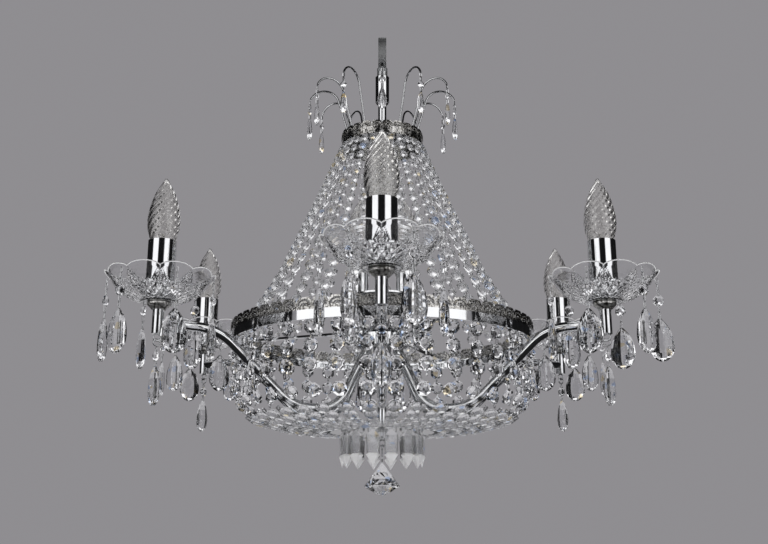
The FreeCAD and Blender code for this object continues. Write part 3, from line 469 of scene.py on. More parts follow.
@dataclass
class Shape:
    """Corners and faces of a mesh that is still being put together."""

    corners: list[Vector] = field(default_factory=list)
    faces: list[tuple[int, ...]] = field(default_factory=list)

    def loft(self, rings: Sequence[Sequence[Vector]], looped: bool = False) -> "Shape":
        """Joins a row of closed rings, and closes its ends.

        Args:
            rings: The rings, with as many corners each.
            looped: Whether the last ring joins the first, with no ends.

        Returns:
            This shape.
        """
        base = len(self.corners)
        sides = len(rings[0])
        for ring in rings:
            self.corners.extend(ring)
        for band in range(len(rings) if looped else len(rings) - 1):
            low = base + band * sides
            high = base + (band + 1) % len(rings) * sides
            for side in range(sides):
                after = (side + 1) % sides
                self.faces.append((low + side, low + after, high + after, high + side))
        if not looped:
            last = base + (len(rings) - 1) * sides
            self.faces.append(tuple(range(base + sides - 1, base - 1, -1)))
            self.faces.append(tuple(range(last, last + sides)))
        return self

    def add(self, other: "Shape", placing: Matrix = Matrix()) -> "Shape":
        """Adds a copy of another shape.

        Args:
            other: The shape to copy.
            placing: Where the copy goes.

        Returns:
            This shape.
        """
        base = len(self.corners)
        self.corners.extend(placing @ corner for corner in other.corners)
        self.faces.extend(tuple(base + index for index in face) for face in other.faces)
        return self

    def placed(self, placing: Matrix) -> "Shape":
        """Gives a copy of this shape in another place."""
        return Shape().add(self, placing)

    def lathe(self, outline: Sequence[Pair], sides: int) -> "Shape":
        """Adds an outline of radius and height, turned round the upright axis."""
        return self.loft([round_ring(radius, height, sides) for radius, height in outline])

    def tube(self, points: Sequence[Vector], radius: float, sides: int, closed: bool = False) -> "Shape":
        """Adds a round wire along a row of points.

        Args:
            points: The wire's middle line.
            radius: Half the wire's thickness.
            sides: How many flats go round it.
            closed: Whether its end joins its start.

        Returns:
            This shape.
        """
        last = len(points) - 1
        rings = []
        across = Vector()
        for index, point in enumerate(points):
            before = points[index - 1] if index or closed else point
            after = points[0 if index == last else index + 1] if index < last or closed else point
            along = (after - before).normalized()
            if not across.length:
                across = along.orthogonal().normalized()
            across = (across - along * across.dot(along)).normalized()
            upward = along.cross(across)
            rings.append([point + (across * spot.x + upward * spot.y) * radius
                          for spot in round_ring(1.0, 0.0, sides)])
        return self.loft(rings, looped=closed)

    def link(self, top: Vector, length: float, width: float, wire: float, facing: float) -> "Shape":
        """Adds one long link of wire that hangs straight down.

        Args:
            top: The outside of its upper end.
            length: Its height outside.
            width: Its width outside.
            wire: Half the thickness of the wire.
            facing: The azimuth that its flat side faces.

        Returns:
            This shape.
        """
        across = polar(1.0, facing, 0.0)
        bend = width / 2 - wire
        straight = length / 2 - wire - bend
        centre = top - UP * (length / 2)
        points = []
        for spot in round_ring(bend, 0.0, LINK_CORNERS, 0.5):
            shift = straight if spot.y > 0 else -straight
            points.append(centre + across * spot.x + UP * (spot.y + shift))
        return self.tube(points, wire, WIRE_SIDES, closed=True)

    def hook(self, top: Vector) -> "Shape":
        """Adds the round loop at the head of a swinging drop."""
        return self.link(top, HOOK_LENGTH, HOOK_LENGTH, HOOK_WIRE, QUARTER_TURN)

    def chain(self, top: Vector, length: float, wire: float, facing: float) -> "Shape":
        """Adds a short chain of long links between two heights.

        Args:
            top: Its upper end.
            length: Its height.
            wire: Half the thickness of the wire.
            facing: The azimuth that its first link faces.

        Returns:
            This shape.
        """
        count = max(1, round(length / LINK_PITCH))
        pitch = length / count
        for index in range(count):
            lap = 2 * wire if index else 0.0
            start = top - UP * (index * pitch - lap)
            self.link(start, pitch + lap, LINK_WIDTH, wire, facing + index * QUARTER_TURN)
        return self

    def mesh(self, name: str) -> bpy.types.Mesh:
        """Makes the mesh, with all its faces pointing outwards.

        Args:
            name: The name of the mesh.

        Returns:
            The new mesh.
        """
        mesh = bpy.data.meshes.new(name)
        mesh.from_pydata(self.corners, [], self.faces)
        work = bmesh.new()
        work.from_mesh(mesh)
        bmesh.ops.recalc_face_normals(work, faces=work.faces)
        work.to_mesh(mesh)
        work.free()
        return mesh

    def thing(self, name: str, finish: Finish, smooth: bool = False) -> Piece:
        """Makes an object of this shape.

        Args:
            name: The object's name.
            finish: Its finish.
            smooth: Whether its faces blend into each other.

        Returns:
            The new object, in the scene.
        """
        mesh = self.mesh(name)
        mesh.materials.append(finish.material)
        if smooth:
            mesh.shade_smooth()
        else:
            mesh.shade_flat()
        return in_scene(name, mesh)

    def piece(self, name: str, finish: Finish, body: str, node: str, smooth: bool = False) -> Piece:
        """Makes a piece of this shape, which rides on a body and stands for a node."""
        return hang(self.thing(name, finish, smooth), finish, body, node)


# --- geometry trees ---


class GrowingTree(Wiring):
    """A tree that grows a mesh from a source, with named inputs for its sizes."""

    def __init__(self, name: str, inputs: dict[str, Any]) -> None:
        """Starts the tree.

        Args:
            name: Its name.
            inputs: A default for each input besides the geometry and the material.
        """
        sockets = {"Geometry": "Geometry", **inputs, "Material": "Material"}
        tree, self.sizes = new_group(name, GroupKind.GEOMETRY, sockets, {"Geometry": "Geometry"})
        super().__init__(tree)

    def vector(self, x: Any = 0.0, y: Any = 0.0, z: Any = 0.0) -> Socket:
        """Joins three numbers into a vector."""
        return self.add("ShaderNodeCombineXYZ", {"X": x, "Y": y, "Z": z})

    def between(self, factor: Socket, first: Any, second: Any) -> Socket:
        """Mixes two numbers."""
        return self.add("ShaderNodeMix", {"Factor": factor, "A": first, "B": second})

    def circle(self, corners: int, radius: Any) -> Socket:
        """Draws a circle round the upright axis."""
        return self.add("GeometryNodeCurvePrimitiveCircle", {"Resolution": corners, "Radius": radius})

    def moved(self, geometry: Socket, change: str, amount: Any) -> Socket:
        """Changes the Translation, Rotation or Scale of geometry."""
        return self.add("GeometryNodeTransform", {"Geometry": geometry, change: amount})

    def wire(self, line: Socket, sides: int, radius: Any) -> Socket:
        """Bends a round wire along a line."""
        return self.add("GeometryNodeCurveToMesh", {"Curve": line, "Profile Curve": self.circle(sides, radius)})

    def joined(self, parts: Sequence[Socket]) -> Socket:
        """Joins several geometries.

        Args:
            parts: What is joined.

        Returns:
            One geometry.
        """
        node = self.node("GeometryNodeJoinGeometry")
        for part in parts:
            self.tree.links.new(part, node.inputs[0])
        return node.outputs[0]

    def turn_round_axis(self, geometry: Socket) -> Socket:
        """Copies geometry round the upright axis.

        Args:
            geometry: What is copied, by the tree's inputs Count and First Turn.

        Returns:
            The copies, as instances.
        """
        single = self.add("GeometryNodeGeometryToInstance", {0: geometry})
        copies = self.node("GeometryNodeDuplicateElements", {
            "Geometry": single, "Amount": self.sizes["Count"]}, domain="INSTANCE").outputs
        step = self.maths("DIVIDE", FULL_TURN, self.sizes["Count"])
        angle = self.maths("MULTIPLY_ADD", copies["Duplicate Index"], step, self.sizes["First Turn"])
        return self.add("GeometryNodeRotateInstances", {
            "Instances": copies["Geometry"], "Rotation": self.vector(z=angle), "Local Space": False})

    def finished(self, geometry: Socket, smooth: bool = False) -> "GrowingTree":
        """Ends the tree with real, shaded geometry that has its finish.

        Args:
            geometry: What the tree has made.
            smooth: Whether its faces blend into each other.

        Returns:
            This tree.
        """
        real = self.add("GeometryNodeRealizeInstances", {"Geometry": geometry})
        shaded = self.add("GeometryNodeSetShadeSmooth", {"Geometry": real, "Shade Smooth": smooth})
        dressed = self.add("GeometryNodeSetMaterial", {"Geometry": shaded, "Material": self.sizes["Material"]})
        self.node("NodeGroupOutput", {"Geometry": dressed})
        return self

    def grow(self, name: str, source: bpy.types.Mesh, finish: Finish, sizes: dict[str, Any],
             *nodes: str) -> Piece:
        """Runs the tree over a source and keeps the result as a plain mesh on the frame.

        Args:
            name: The piece's name.
            source: The mesh that the tree starts from.
            finish: The piece's finish.
            sizes: The tree's sizes by name.
            *nodes: The nodes that the piece stands for.

        Returns:
            The new piece, with no modifier.
        """
        carrier = in_scene(name + "_source", source)
        modifier = carrier.modifiers.new("grow", "NODES")
        modifier.node_group = self.tree
        values = {**sizes, "Material": finish.material}
        for socket in self.tree.interface.items_tree:
            if socket.in_out == "INPUT" and socket.name in values:
                modifier[socket.identifier] = values[socket.name]
        depsgraph = bpy.context.evaluated_depsgraph_get()
        mesh = bpy.data.meshes.new_from_object(carrier.evaluated_get(depsgraph), depsgraph=depsgraph)
        bpy.data.objects.remove(carrier)
        mesh.name = name
        return hang(in_scene(name, mesh), finish, "frame", *nodes)


class Station(Enum):
    """What a point of a strand is for."""

    BEAD = "every second point"
    LINK = "the points between them"


class StrandTree(GrowingTree):
    """A tree that threads something on strands, given as edges that carry their bead width."""

    def __init__(self, name: str, inputs: dict[str, Any]) -> None:
        """Starts the tree with the sizes that every strand has."""
        super().__init__(name, {"Bead Gap": 0.0032, "Count": 30, "First Turn": 0.0, **inputs})
        self.bead_width = self.add("GeometryNodeInputNamedAttribute", {"Name": "bead_width"}, data_type="FLOAT")

    def threaded(self, thing: Socket, station: Station, face: str, scale: Any) -> "StrandTree":
        """Threads a thing along every strand, and ends the tree.

        Each run of a strand is divided into twice as many steps as it has beads.

        Args:
            thing: What is threaded.
            station: On which points.
            face: Its own axis that looks away from the strand's plane or from the centre.
            scale: How large it is.

        Returns:
            This tree.
        """
        runs = self.add("GeometryNodeMeshToCurve", {"Mesh": self.sizes["Geometry"]})
        pitch = self.maths("ADD", self.bead_width, self.sizes["Bead Gap"])
        beads = self.maths("FLOOR", self.maths("DIVIDE", self.add("GeometryNodeSplineLength"), pitch))
        divided = self.add("GeometryNodeResampleCurve", {
            "Curve": runs, "Count": self.maths("MULTIPLY_ADD", beads, 2.0, 1.0)})
        odd = self.maths("MODULO", self.add("GeometryNodeSplineParameter", output="Index"), 2.0)
        along = self.add("GeometryNodeInputTangent")
        outwards = self.add("ShaderNodeVectorMath", {0: along, 1: (0.0, 1.0, 0.0)}, operation="CROSS_PRODUCT")
        rotation = self.add("FunctionNodeAxesToRotation", {0: outwards, 1: along},
                            primary_axis=face, secondary_axis="X")
        strand = self.add("GeometryNodeInstanceOnPoints", {
            "Points": divided, "Instance": thing, "Rotation": rotation, "Scale": scale,
            "Selection": odd if station is Station.BEAD else self.maths("SUBTRACT", 1.0, odd)})
        return self.finished(self.turn_round_axis(strand))


def bead_tree() -> StrandTree:
    """Builds the tree that threads flat octagon beads on strands round the centre tube.

    Returns:
        The finished tree.
    """
    tree = StrandTree("octagon_beads", {"Thickness": 0.5, "Table": 0.42, "Girdle": 0.24})
    thickness = tree.sizes["Thickness"]
    bands = 3
    blank = tree.add("GeometryNodeMeshCylinder", {
        "Vertices": 8, "Side Segments": bands, "Radius": 0.5, "Depth": thickness})
    place = tree.add("GeometryNodeInputPosition")
    height = tree.maths("ABSOLUTE", tree.add("ShaderNodeSeparateXYZ", {0: place}, output="Z"))
    on_table = tree.maths("GREATER_THAN", height, tree.maths("DIVIDE", thickness, bands))
    width = tree.between(on_table, 1.0, tree.sizes["Table"])
    depth = tree.between(on_table, tree.maths("MULTIPLY", tree.sizes["Girdle"], bands), 1.0)
    cut_place = tree.add("ShaderNodeVectorMath", {0: place, 1: tree.vector(width, width, depth)},
                         operation="MULTIPLY")
    cut = tree.add("GeometryNodeSetPosition", {"Geometry": blank, "Position": cut_place})
    squared = tree.moved(cut, "Rotation", (0.0, 0.0, math.pi / 8))
    return tree.threaded(squared, Station.BEAD, "Z", tree.bead_width)


def pin_tree() -> StrandTree:
    """Builds the tree that joins the beads of a strand with oval wire links.

    Returns:
        The finished tree.
    """
    tree = StrandTree("bead_links", {"Link Length": 0.0068, "Link Width": 0.0030, "Wire": 0.0004})
    stretch = tree.vector(tree.sizes["Link Length"], tree.sizes["Link Width"], 1.0)
    oval = tree.moved(tree.circle(8, 0.5), "Scale", stretch)
    return tree.threaded(tree.wire(oval, 4, tree.sizes["Wire"]), Station.LINK, "Y", (1.0, 1.0, 1.0))


def copies_tree() -> GrowingTree:
    """Builds the tree that repeats one mesh evenly round the centre tube."""
    tree = GrowingTree("copies_round_axis", {"Count": 12, "First Turn": 0.0})
    return tree.finished(tree.turn_round_axis(tree.sizes["Geometry"]))


def filigree_tree() -> GrowingTree:
    """Builds the tree that lays raised arches, dots and rails on a pierced band.

    Returns:
        The finished tree.
    """
    tree = GrowingTree("filigree", {"Radius": 0.175, "Base": 0.0, "Height": 0.013, "Count": 60,
                                    "First Turn": 0.0, "Wire": 0.0007})
    radius, base, height, wire = (tree.sizes[name] for name in ("Radius", "Base", "Height", "Wire"))
    wire_sides, rail_corners, dot_size = 6, 120, 1.25
    half_pitch = tree.maths("DIVIDE", tree.maths("MULTIPLY", radius, math.pi), tree.sizes["Count"])
    dot = tree.add("GeometryNodeMeshIcoSphere", {
        "Radius": tree.maths("MULTIPLY", wire, dot_size), "Subdivisions": 1})
    arches = []
    for share, steps, dotted in ((0.9, 14, False), (0.7, 10, True), (0.48, 10, False), (0.22, 8, False)):
        arch = tree.add("GeometryNodeCurveArc", {
            "Resolution": steps, "Radius": tree.maths("MULTIPLY", half_pitch, share), "Start Angle": 0.0,
            "Sweep Angle": math.pi})
        upright = tree.moved(arch, "Rotation", (QUARTER_TURN, 0.0, QUARTER_TURN))
        if dotted:
            arches.append(tree.add("GeometryNodeInstanceOnPoints", {"Points": upright, "Instance": dot}))
        else:
            arches.append(tree.wire(upright, wire_sides, wire))
    foot = tree.maths("SUBTRACT", tree.maths("ADD", base, height), half_pitch)
    stood = tree.moved(tree.joined(arches), "Translation", tree.vector(radius, 0.0, foot))
    parts = [tree.turn_round_axis(stood)]
    for level, thickness in ((0.12, 1.0), (0.24, 0.8)):
        lift = tree.vector(z=tree.maths("MULTIPLY_ADD", height, level, base))
        rail = tree.moved(tree.circle(rail_corners, radius), "Translation", lift)
        parts.append(tree.wire(rail, wire_sides, tree.maths("MULTIPLY", wire, thickness)))
    return tree.finished(tree.joined(parts), smooth=True)


BEADS = bead_tree()
PINS = pin_tree()
COPIES = copies_tree()
FILIGREE = filigree_tree()


def repeated(name: str, shape: Shape, finish: Finish, count: int, node: str) -> Piece:
    """Makes a piece of even copies of a shape round the centre tube."""
    return COPIES.grow(name, shape.mesh(name + "_start"), finish, {"Count": count, "First Turn": 0.0}, node)


# --- stones ---


@dataclass(frozen=True)
class CutDrop:
    """A flat drop with a table on both faces, wide along X and thick along Y, that hangs from the origin.

    The outline holds depth and half width, as shares of length and width.
    """

    width: float
    length: float
    flatness: float
    fullness: float = 0.7
    outline: tuple[Pair, ...] = (
        (0.0, 0.06), (0.08, 0.17), (0.18, 0.30), (0.32, 0.41), (0.48, 0.475), (0.64, 0.5), (0.78, 0.46),
        (0.89, 0.36), (0.96, 0.22), (1.0, 0.08))
    bevels: tuple[Pair, ...] = ((1.0, 0.0), (0.78, 0.42), (0.44, 0.76), (0.08, 1.0))

    def shape(self) -> Shape:
        """Cuts the stone.

        Returns:
            One closed stone.
        """
        rings = []
        for depth, share in self.outline:
            half_width = self.width * share
            half_depth = self.width / 2 * self.flatness * (2 * share) ** self.fullness
            quarter = [(half_width * wide, half_depth * thick) for wide, thick in self.bevels]
            upper = quarter + [(-wide, thick) for wide, thick in reversed(quarter)]
            around = upper + [(-wide, -thick) for wide, thick in upper[1:-1]]
            rings.append([Vector((wide, thick, -self.length * depth)) for wide, thick in around])
        return Shape().loft(rings)


@dataclass(frozen=True)
class OctagonBead:
    """A flat eight-sided bead round the origin, that looks along Y."""

    width: float
    thickness: float = 0.5
    table: float = 0.42
    girdle: float = 0.14

    def shape(self) -> Shape:
        """Cuts the bead.

        Returns:
            One closed bead.
        """
        levels = ((-0.5, self.table), (-self.girdle, 1.0), (self.girdle, 1.0), (0.5, self.table))
        return Shape().loft([[corner.xzy for corner in round_ring(
            self.width / 2 * share, self.width * self.thickness * level, 8, 0.5)] for level, share in levels])


@dataclass(frozen=True)
class SpearPrism:
    """A flat prism with a tapered top and a pointed end, wide along X, that hangs from the origin."""

    width: float
    length: float
    flatness: float = 0.5
    top_width: float = 0.0036
    shoulder: float = 0.0058
    point: float = 0.0135
    flat_share: float = 0.96
    end_share: float = 0.9
    saw_cut: float = 0.0004
    tip_share: float = 0.6
    tip_shoulder: float = 0.002
    tip_width: float = 0.0008

    def shaft(self) -> Shape:
        """Cuts the clear shaft."""
        end = (self.length - self.point, self.width * self.end_share)
        return self.lofted(((0.0, self.top_width), (self.shoulder, self.width), end))

    def tip(self) -> Shape:
        """Cuts the wider tip of the same prism, which carries the painted highlight of its point.

        Returns:
            One closed stone.
        """
        start = self.length - self.point + self.saw_cut
        return self.lofted(((start, self.width * self.tip_share), (start + self.tip_shoulder, self.width),
                            (self.length, self.tip_width)))

    def lofted(self, levels: Sequence[Pair]) -> Shape:
        """Lofts six-sided sections.

        Args:
            levels: Depth and width of each section.

        Returns:
            One closed stone.
        """
        rings = []
        for depth, width in levels:
            half = width / 2
            thick, flat = half * self.flatness, half * self.flat_share
            around = [(half, 0.0), (flat, thick), (-flat, thick), (-half, 0.0), (-flat, -thick), (flat, -thick)]
            rings.append([Vector((wide, deep, -depth)) for wide, deep in around])
        return Shape().loft(rings)


@dataclass(frozen=True)
class HangingDrop:
    """A chain, a bead, more chain and a drop, hung from the origin."""

    upper_chain: float
    bead: OctagonBead
    lower_chain: float
    drop: CutDrop
    wire: float = 0.00045
    lap: float = 0.0012

    def stones(self) -> Shape:
        """Cuts the bead and the drop.

        Returns:
            The two stones.
        """
        middle = self.upper_chain + self.bead.width / 2
        head = middle + self.bead.width / 2 + self.lower_chain
        return self.bead.shape().placed(lowered(middle)).add(self.drop.shape(), lowered(head))

    def wires(self) -> Shape:
        """Bends the links over and under the bead.

        Returns:
            The links.
        """
        lower = UP * (self.lap - self.upper_chain - self.bead.width)
        shape = Shape().chain(Vector(), self.upper_chain + self.lap, self.wire, 0.0)
        return shape.chain(lower, self.lower_chain + 2 * self.lap, self.wire, QUARTER_TURN)


# --- sub-assemblies ---


@dataclass
class BeadCurtain:
    """Strands of octagon beads, evenly round the centre tube.

    The runs hold radius and height of each end, with the width of the beads between them.
    """

    name: str
    runs: Sequence[tuple[Pair, Pair, float]]
    strands: int
    bead_finish: Finish
    bead_gap: float = 0.0026

    def centre_line(self) -> bpy.types.Mesh:
        """Draws one strand's runs as edges that carry their bead width.

        Returns:
            A mesh of loose edges in the plane of X and Z.
        """
        mesh = bpy.data.meshes.new(self.name + "_line")
        ends = [Vector((radius, 0.0, height)) for start, end, _ in self.runs for radius, height in (start, end)]
        mesh.from_pydata(ends, [(2 * index, 2 * index + 1) for index in range(len(self.runs))], [])
        widths = mesh.attributes.new("bead_width", "FLOAT", "POINT")
        widths.data.foreach_set("value", [width for _, _, width in self.runs for _ in range(2)])
        return mesh

    def build(self) -> list[Piece]:
        """Threads the strands.

        Returns:
            The beads and the links between them.
        """
        sizes = {"Bead Gap": self.bead_gap, "Count": self.strands, "First Turn": math.pi / self.strands}
        return [tree.grow(f"{self.name}_{part}", self.centre_line(), finish, sizes, self.name + "_strands")
                for tree, part, finish in ((BEADS, "beads", self.bead_finish), (PINS, "links", CHROME))]


@dataclass
class Curtains:
    """The tent over the ring and the basket under it; heights are over the ring's lower edge."""

    strands_per_arm_above: int = 5
    strands_per_arm_below: int = 6
    tent_foot_inset: float = 0.008
    tent_bends: tuple[Pair, ...] = ((0.085, 0.165), (0.123, 0.080))
    tent_beads: tuple[float, ...] = (0.0100, 0.0122, 0.0142)
    basket_top_inset: float = 0.007
    basket_belly: Pair = (0.172, -0.056)
    basket_shoulder: Pair = (0.152, -0.084)
    basket_floor: Pair = (0.112, -0.094)
    basket_bead: float = 0.0168
    floor_bead: float = 0.0125
    tent_shelf: float = 0.006
    basket_shelf: float = 0.0042
    crown_wall: float = 0.0016

    def build(self) -> list[Piece]:
        """Hangs the tent, the side of the basket and its floor.

        Returns:
            All their pieces.
        """
        ring_low, ring_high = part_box("main_ring")
        crown_low, crown_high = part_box("crown_ring")
        base_low, base_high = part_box("base_plate")
        *bends, foot, top, belly, shoulder, floor = ((radius, height + ring_low.z) for radius, height in (
            *self.tent_bends, (ring_high.x - self.tent_foot_inset, self.tent_shelf),
            (ring_high.x - self.basket_top_inset, self.basket_shelf),
            self.basket_belly, self.basket_shoulder, self.basket_floor))
        knots = [(crown_high.x - self.crown_wall / 2, crown_low.z), *bends, foot]
        side = [(top, belly, self.basket_bead), (belly, shoulder, self.basket_bead)]
        end = (base_high.x, (base_low.z + base_high.z) / 2)
        bottom = [(shoulder, floor, self.basket_bead), (floor, end, self.floor_bead)]
        above = ARMS * self.strands_per_arm_above
        below = ARMS * self.strands_per_arm_below
        tent = BeadCurtain("tent", list(zip(knots, knots[1:], self.tent_beads)), above, SOFT_CRYSTAL)
        return [*tent.build(), *BeadCurtain("basket_side", side, below, CRYSTAL).build(),
                *BeadCurtain("basket_floor", bottom, below, SOFT_CRYSTAL).build()]


@dataclass
class Filigree:
    """Raised ornament on the crown and on the gallery of the ring, by its arches and its wire."""

    crown: tuple[int, float] = (24, 0.0009)
    gallery: tuple[int, float] = (60, 0.0008)
    sunk_share: float = 0.8

    def build(self) -> list[Piece]:
        """Lays the ornament on both bands.

        Returns:
            The two pieces.
        """
        pieces = []
        for name, node, (arches, wire) in (("crown_ornament", "crown_ring", self.crown),
                                           ("gallery_ornament", "ring_gallery", self.gallery)):
            low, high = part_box(node)
            pieces.append(FILIGREE.grow(name, bpy.data.meshes.new(name + "_start"), ANTIQUE, {
                "Radius": high.x - wire * self.sunk_share, "Base": low.z, "Height": high.z - low.z - wire,
                "Count": arches, "First Turn": math.pi / arches, "Wire": wire}))
        return pieces


@dataclass
class Dish:
    """A scalloped dish of pressed glass, with a fan under each valley of its rim and diamonds round its foot.

    It stands on the origin. A share of the way up is 0 at its foot and 1 at its rim. A fade is how fast
    relief grows with that share.
    """

    lobes: int = 10
    lobe_roundness: float = 0.7
    thickness: float = 0.003
    rim_taper: float = 0.6
    foot_radius: float = 0.019
    hole_radius: float = 0.006
    middle: Pair = (0.0415, 0.011)
    notch: float = 0.0042
    pinch: float = 0.0020
    fan_top: float = 0.88
    fan_foot: float = 0.40
    fan_start: float = 0.02
    fan_width: float = 0.0105
    fan_height: float = 0.0011
    fan_rays: int = 2
    fan_side_fade: float = 4.0
    fan_foot_fade: float = 8.0
    diamonds: int = 30
    diamond_rows: int = 6
    diamond_top: float = 0.62
    diamond_height: float = 0.0018
    diamond_fade: float = 12.0
    edge_fade: float = 10.0
    segments: int = 300
    outer_steps: int = 44
    inner_steps: int = 16
    edge_sides: int = 8

    def from_valley(self, angle: float) -> float:
        """Gives the angle from the nearest valley of the rim."""
        pitch = FULL_TURN / self.lobes
        return angle % pitch - pitch / 2

    def fan(self, angle: float, radius: float, share: float) -> float:
        """Gives the height of the rays that spread downwards from a valley.

        Args:
            angle: The place's azimuth.
            radius: Its distance from the axis.
            share: Its share of the way up.

        Returns:
            The height over the plain glass.
        """
        down = (self.fan_top - share) / (self.fan_top - self.fan_foot)
        if not self.fan_start < down < 1.0:
            return 0.0
        across = abs(self.from_valley(angle)) * radius / (self.fan_width * down)
        if across > 1.0:
            return self.fan_height * max(0.0, 1.0 - (across - 1.0) * self.fan_side_fade * down)
        rays = 0.5 + 0.5 * math.cos(FULL_TURN * self.fan_rays * across)
        return self.fan_height * rays * min(1.0, (1.0 - down) * self.fan_foot_fade)

    def diamond(self, angle: float, share: float) -> float:
        """Gives the height of the small diamonds round the foot.

        Args:
            angle: The place's azimuth.
            share: Its share of the way up.

        Returns:
            The height over the plain glass.
        """
        if share > self.diamond_top:
            return 0.0
        rows = share / self.diamond_top * self.diamond_rows * QUARTER_TURN
        left = math.sin(self.diamonds * angle / 2 + rows)
        right = math.sin(self.diamonds * angle / 2 - rows)
        fade = min(1.0, (self.diamond_top - share) * self.diamond_fade)
        return self.diamond_height * min(abs(left), abs(right)) * fade

    def profile(self, rim: Pair, shrink: float, steps: int) -> list[tuple[float, float, float]]:
        """Samples the arc of the bowl from its foot to its rim.

        Args:
            rim: Radius and height of the rim.
            shrink: How far inside the outside this surface lies.
            steps: Into how many parts it is divided.

        Returns:
            Radius, height and share of the way up for each step.
        """
        (x1, y1), (x2, y2), (x3, y3) = (self.foot_radius, 0.0), self.middle, rim
        slope = 2 * (x1 * (y2 - y3) + x2 * (y3 - y1) + x3 * (y1 - y2))
        squares = (x1 ** 2 + y1 ** 2, x2 ** 2 + y2 ** 2, x3 ** 2 + y3 ** 2)
        centre_x = (squares[0] * (y2 - y3) + squares[1] * (y3 - y1) + squares[2] * (y1 - y2)) / slope
        centre_y = (squares[0] * (x3 - x2) + squares[1] * (x1 - x3) + squares[2] * (x2 - x1)) / slope
        radius = math.hypot(x1 - centre_x, y1 - centre_y)
        start = math.atan2(y1 - centre_y, x1 - centre_x)
        end = math.atan2(y3 - centre_y, x3 - centre_x)
        points = []
        for step in range(steps + 1):
            share = step / steps
            angle = start + (end - start) * share
            inside = radius - shrink * (1.0 - self.rim_taper * share ** 4)
            points.append((centre_x + inside * math.cos(angle), centre_y + inside * math.sin(angle), share))
        return points

    def shape(self, rim: Pair) -> Shape:
        """Presses the dish.

        Args:
            rim: Radius and height of its rim.

        Returns:
            One closed shell with a hole in its middle.
        """
        angles = [FULL_TURN * index / self.segments for index in range(self.segments)]
        inner = self.profile(rim, self.thickness, self.inner_steps)
        rings = [round_ring(self.hole_radius, 0.0, self.segments)]
        for place in self.profile(rim, 0.0, self.outer_steps):
            rings.append([self.corner(angle, *place, cut=True) for angle in angles])
        for place in reversed(inner):
            rings.append([self.corner(angle, *place) for angle in angles])
        rings.append(round_ring(self.hole_radius, inner[0][1], self.segments))
        return Shape().loft(rings, looped=True)

    def edge(self, rim: Pair) -> Shape:
        """Rounds the edge of the rim.

        Args:
            rim: Radius and height of the rim.

        Returns:
            A closed roll of glass.
        """
        inset = self.thickness * (1.0 - self.rim_taper) / 2
        corners = [self.corner(FULL_TURN * index / self.segments, rim[0] - inset, rim[1] - inset / 2, 1.0)
                   for index in range(self.segments)]
        return Shape().tube(corners, inset, self.edge_sides, closed=True)

    def corner(self, angle: float, radius: float, height: float, share: float, cut: bool = False) -> Vector:
        """Gives one corner of the bowl, with the lobes of its rim.

        Args:
            angle: The corner's azimuth.
            radius: Its radius in a plain round bowl.
            height: Its height in such a bowl.
            share: Its share of the way up.
            cut: Whether fan and diamonds are cut into the glass there.

        Returns:
            The corner.
        """
        if cut:
            relief = self.fan(angle, radius, share) + self.diamond(angle, share)
            ends = min(1.0, (1.0 - share) * self.edge_fade) * min(1.0, share * self.edge_fade)
            radius += (relief - max(self.fan_height, self.diamond_height)) * ends
        along = abs(self.from_valley(angle)) * self.lobes / math.pi
        valley = 1.0 - math.sin(along * QUARTER_TURN) ** self.lobe_roundness
        return polar(radius - self.pinch * valley * share ** 2, angle, height - self.notch * valley * share ** 3)


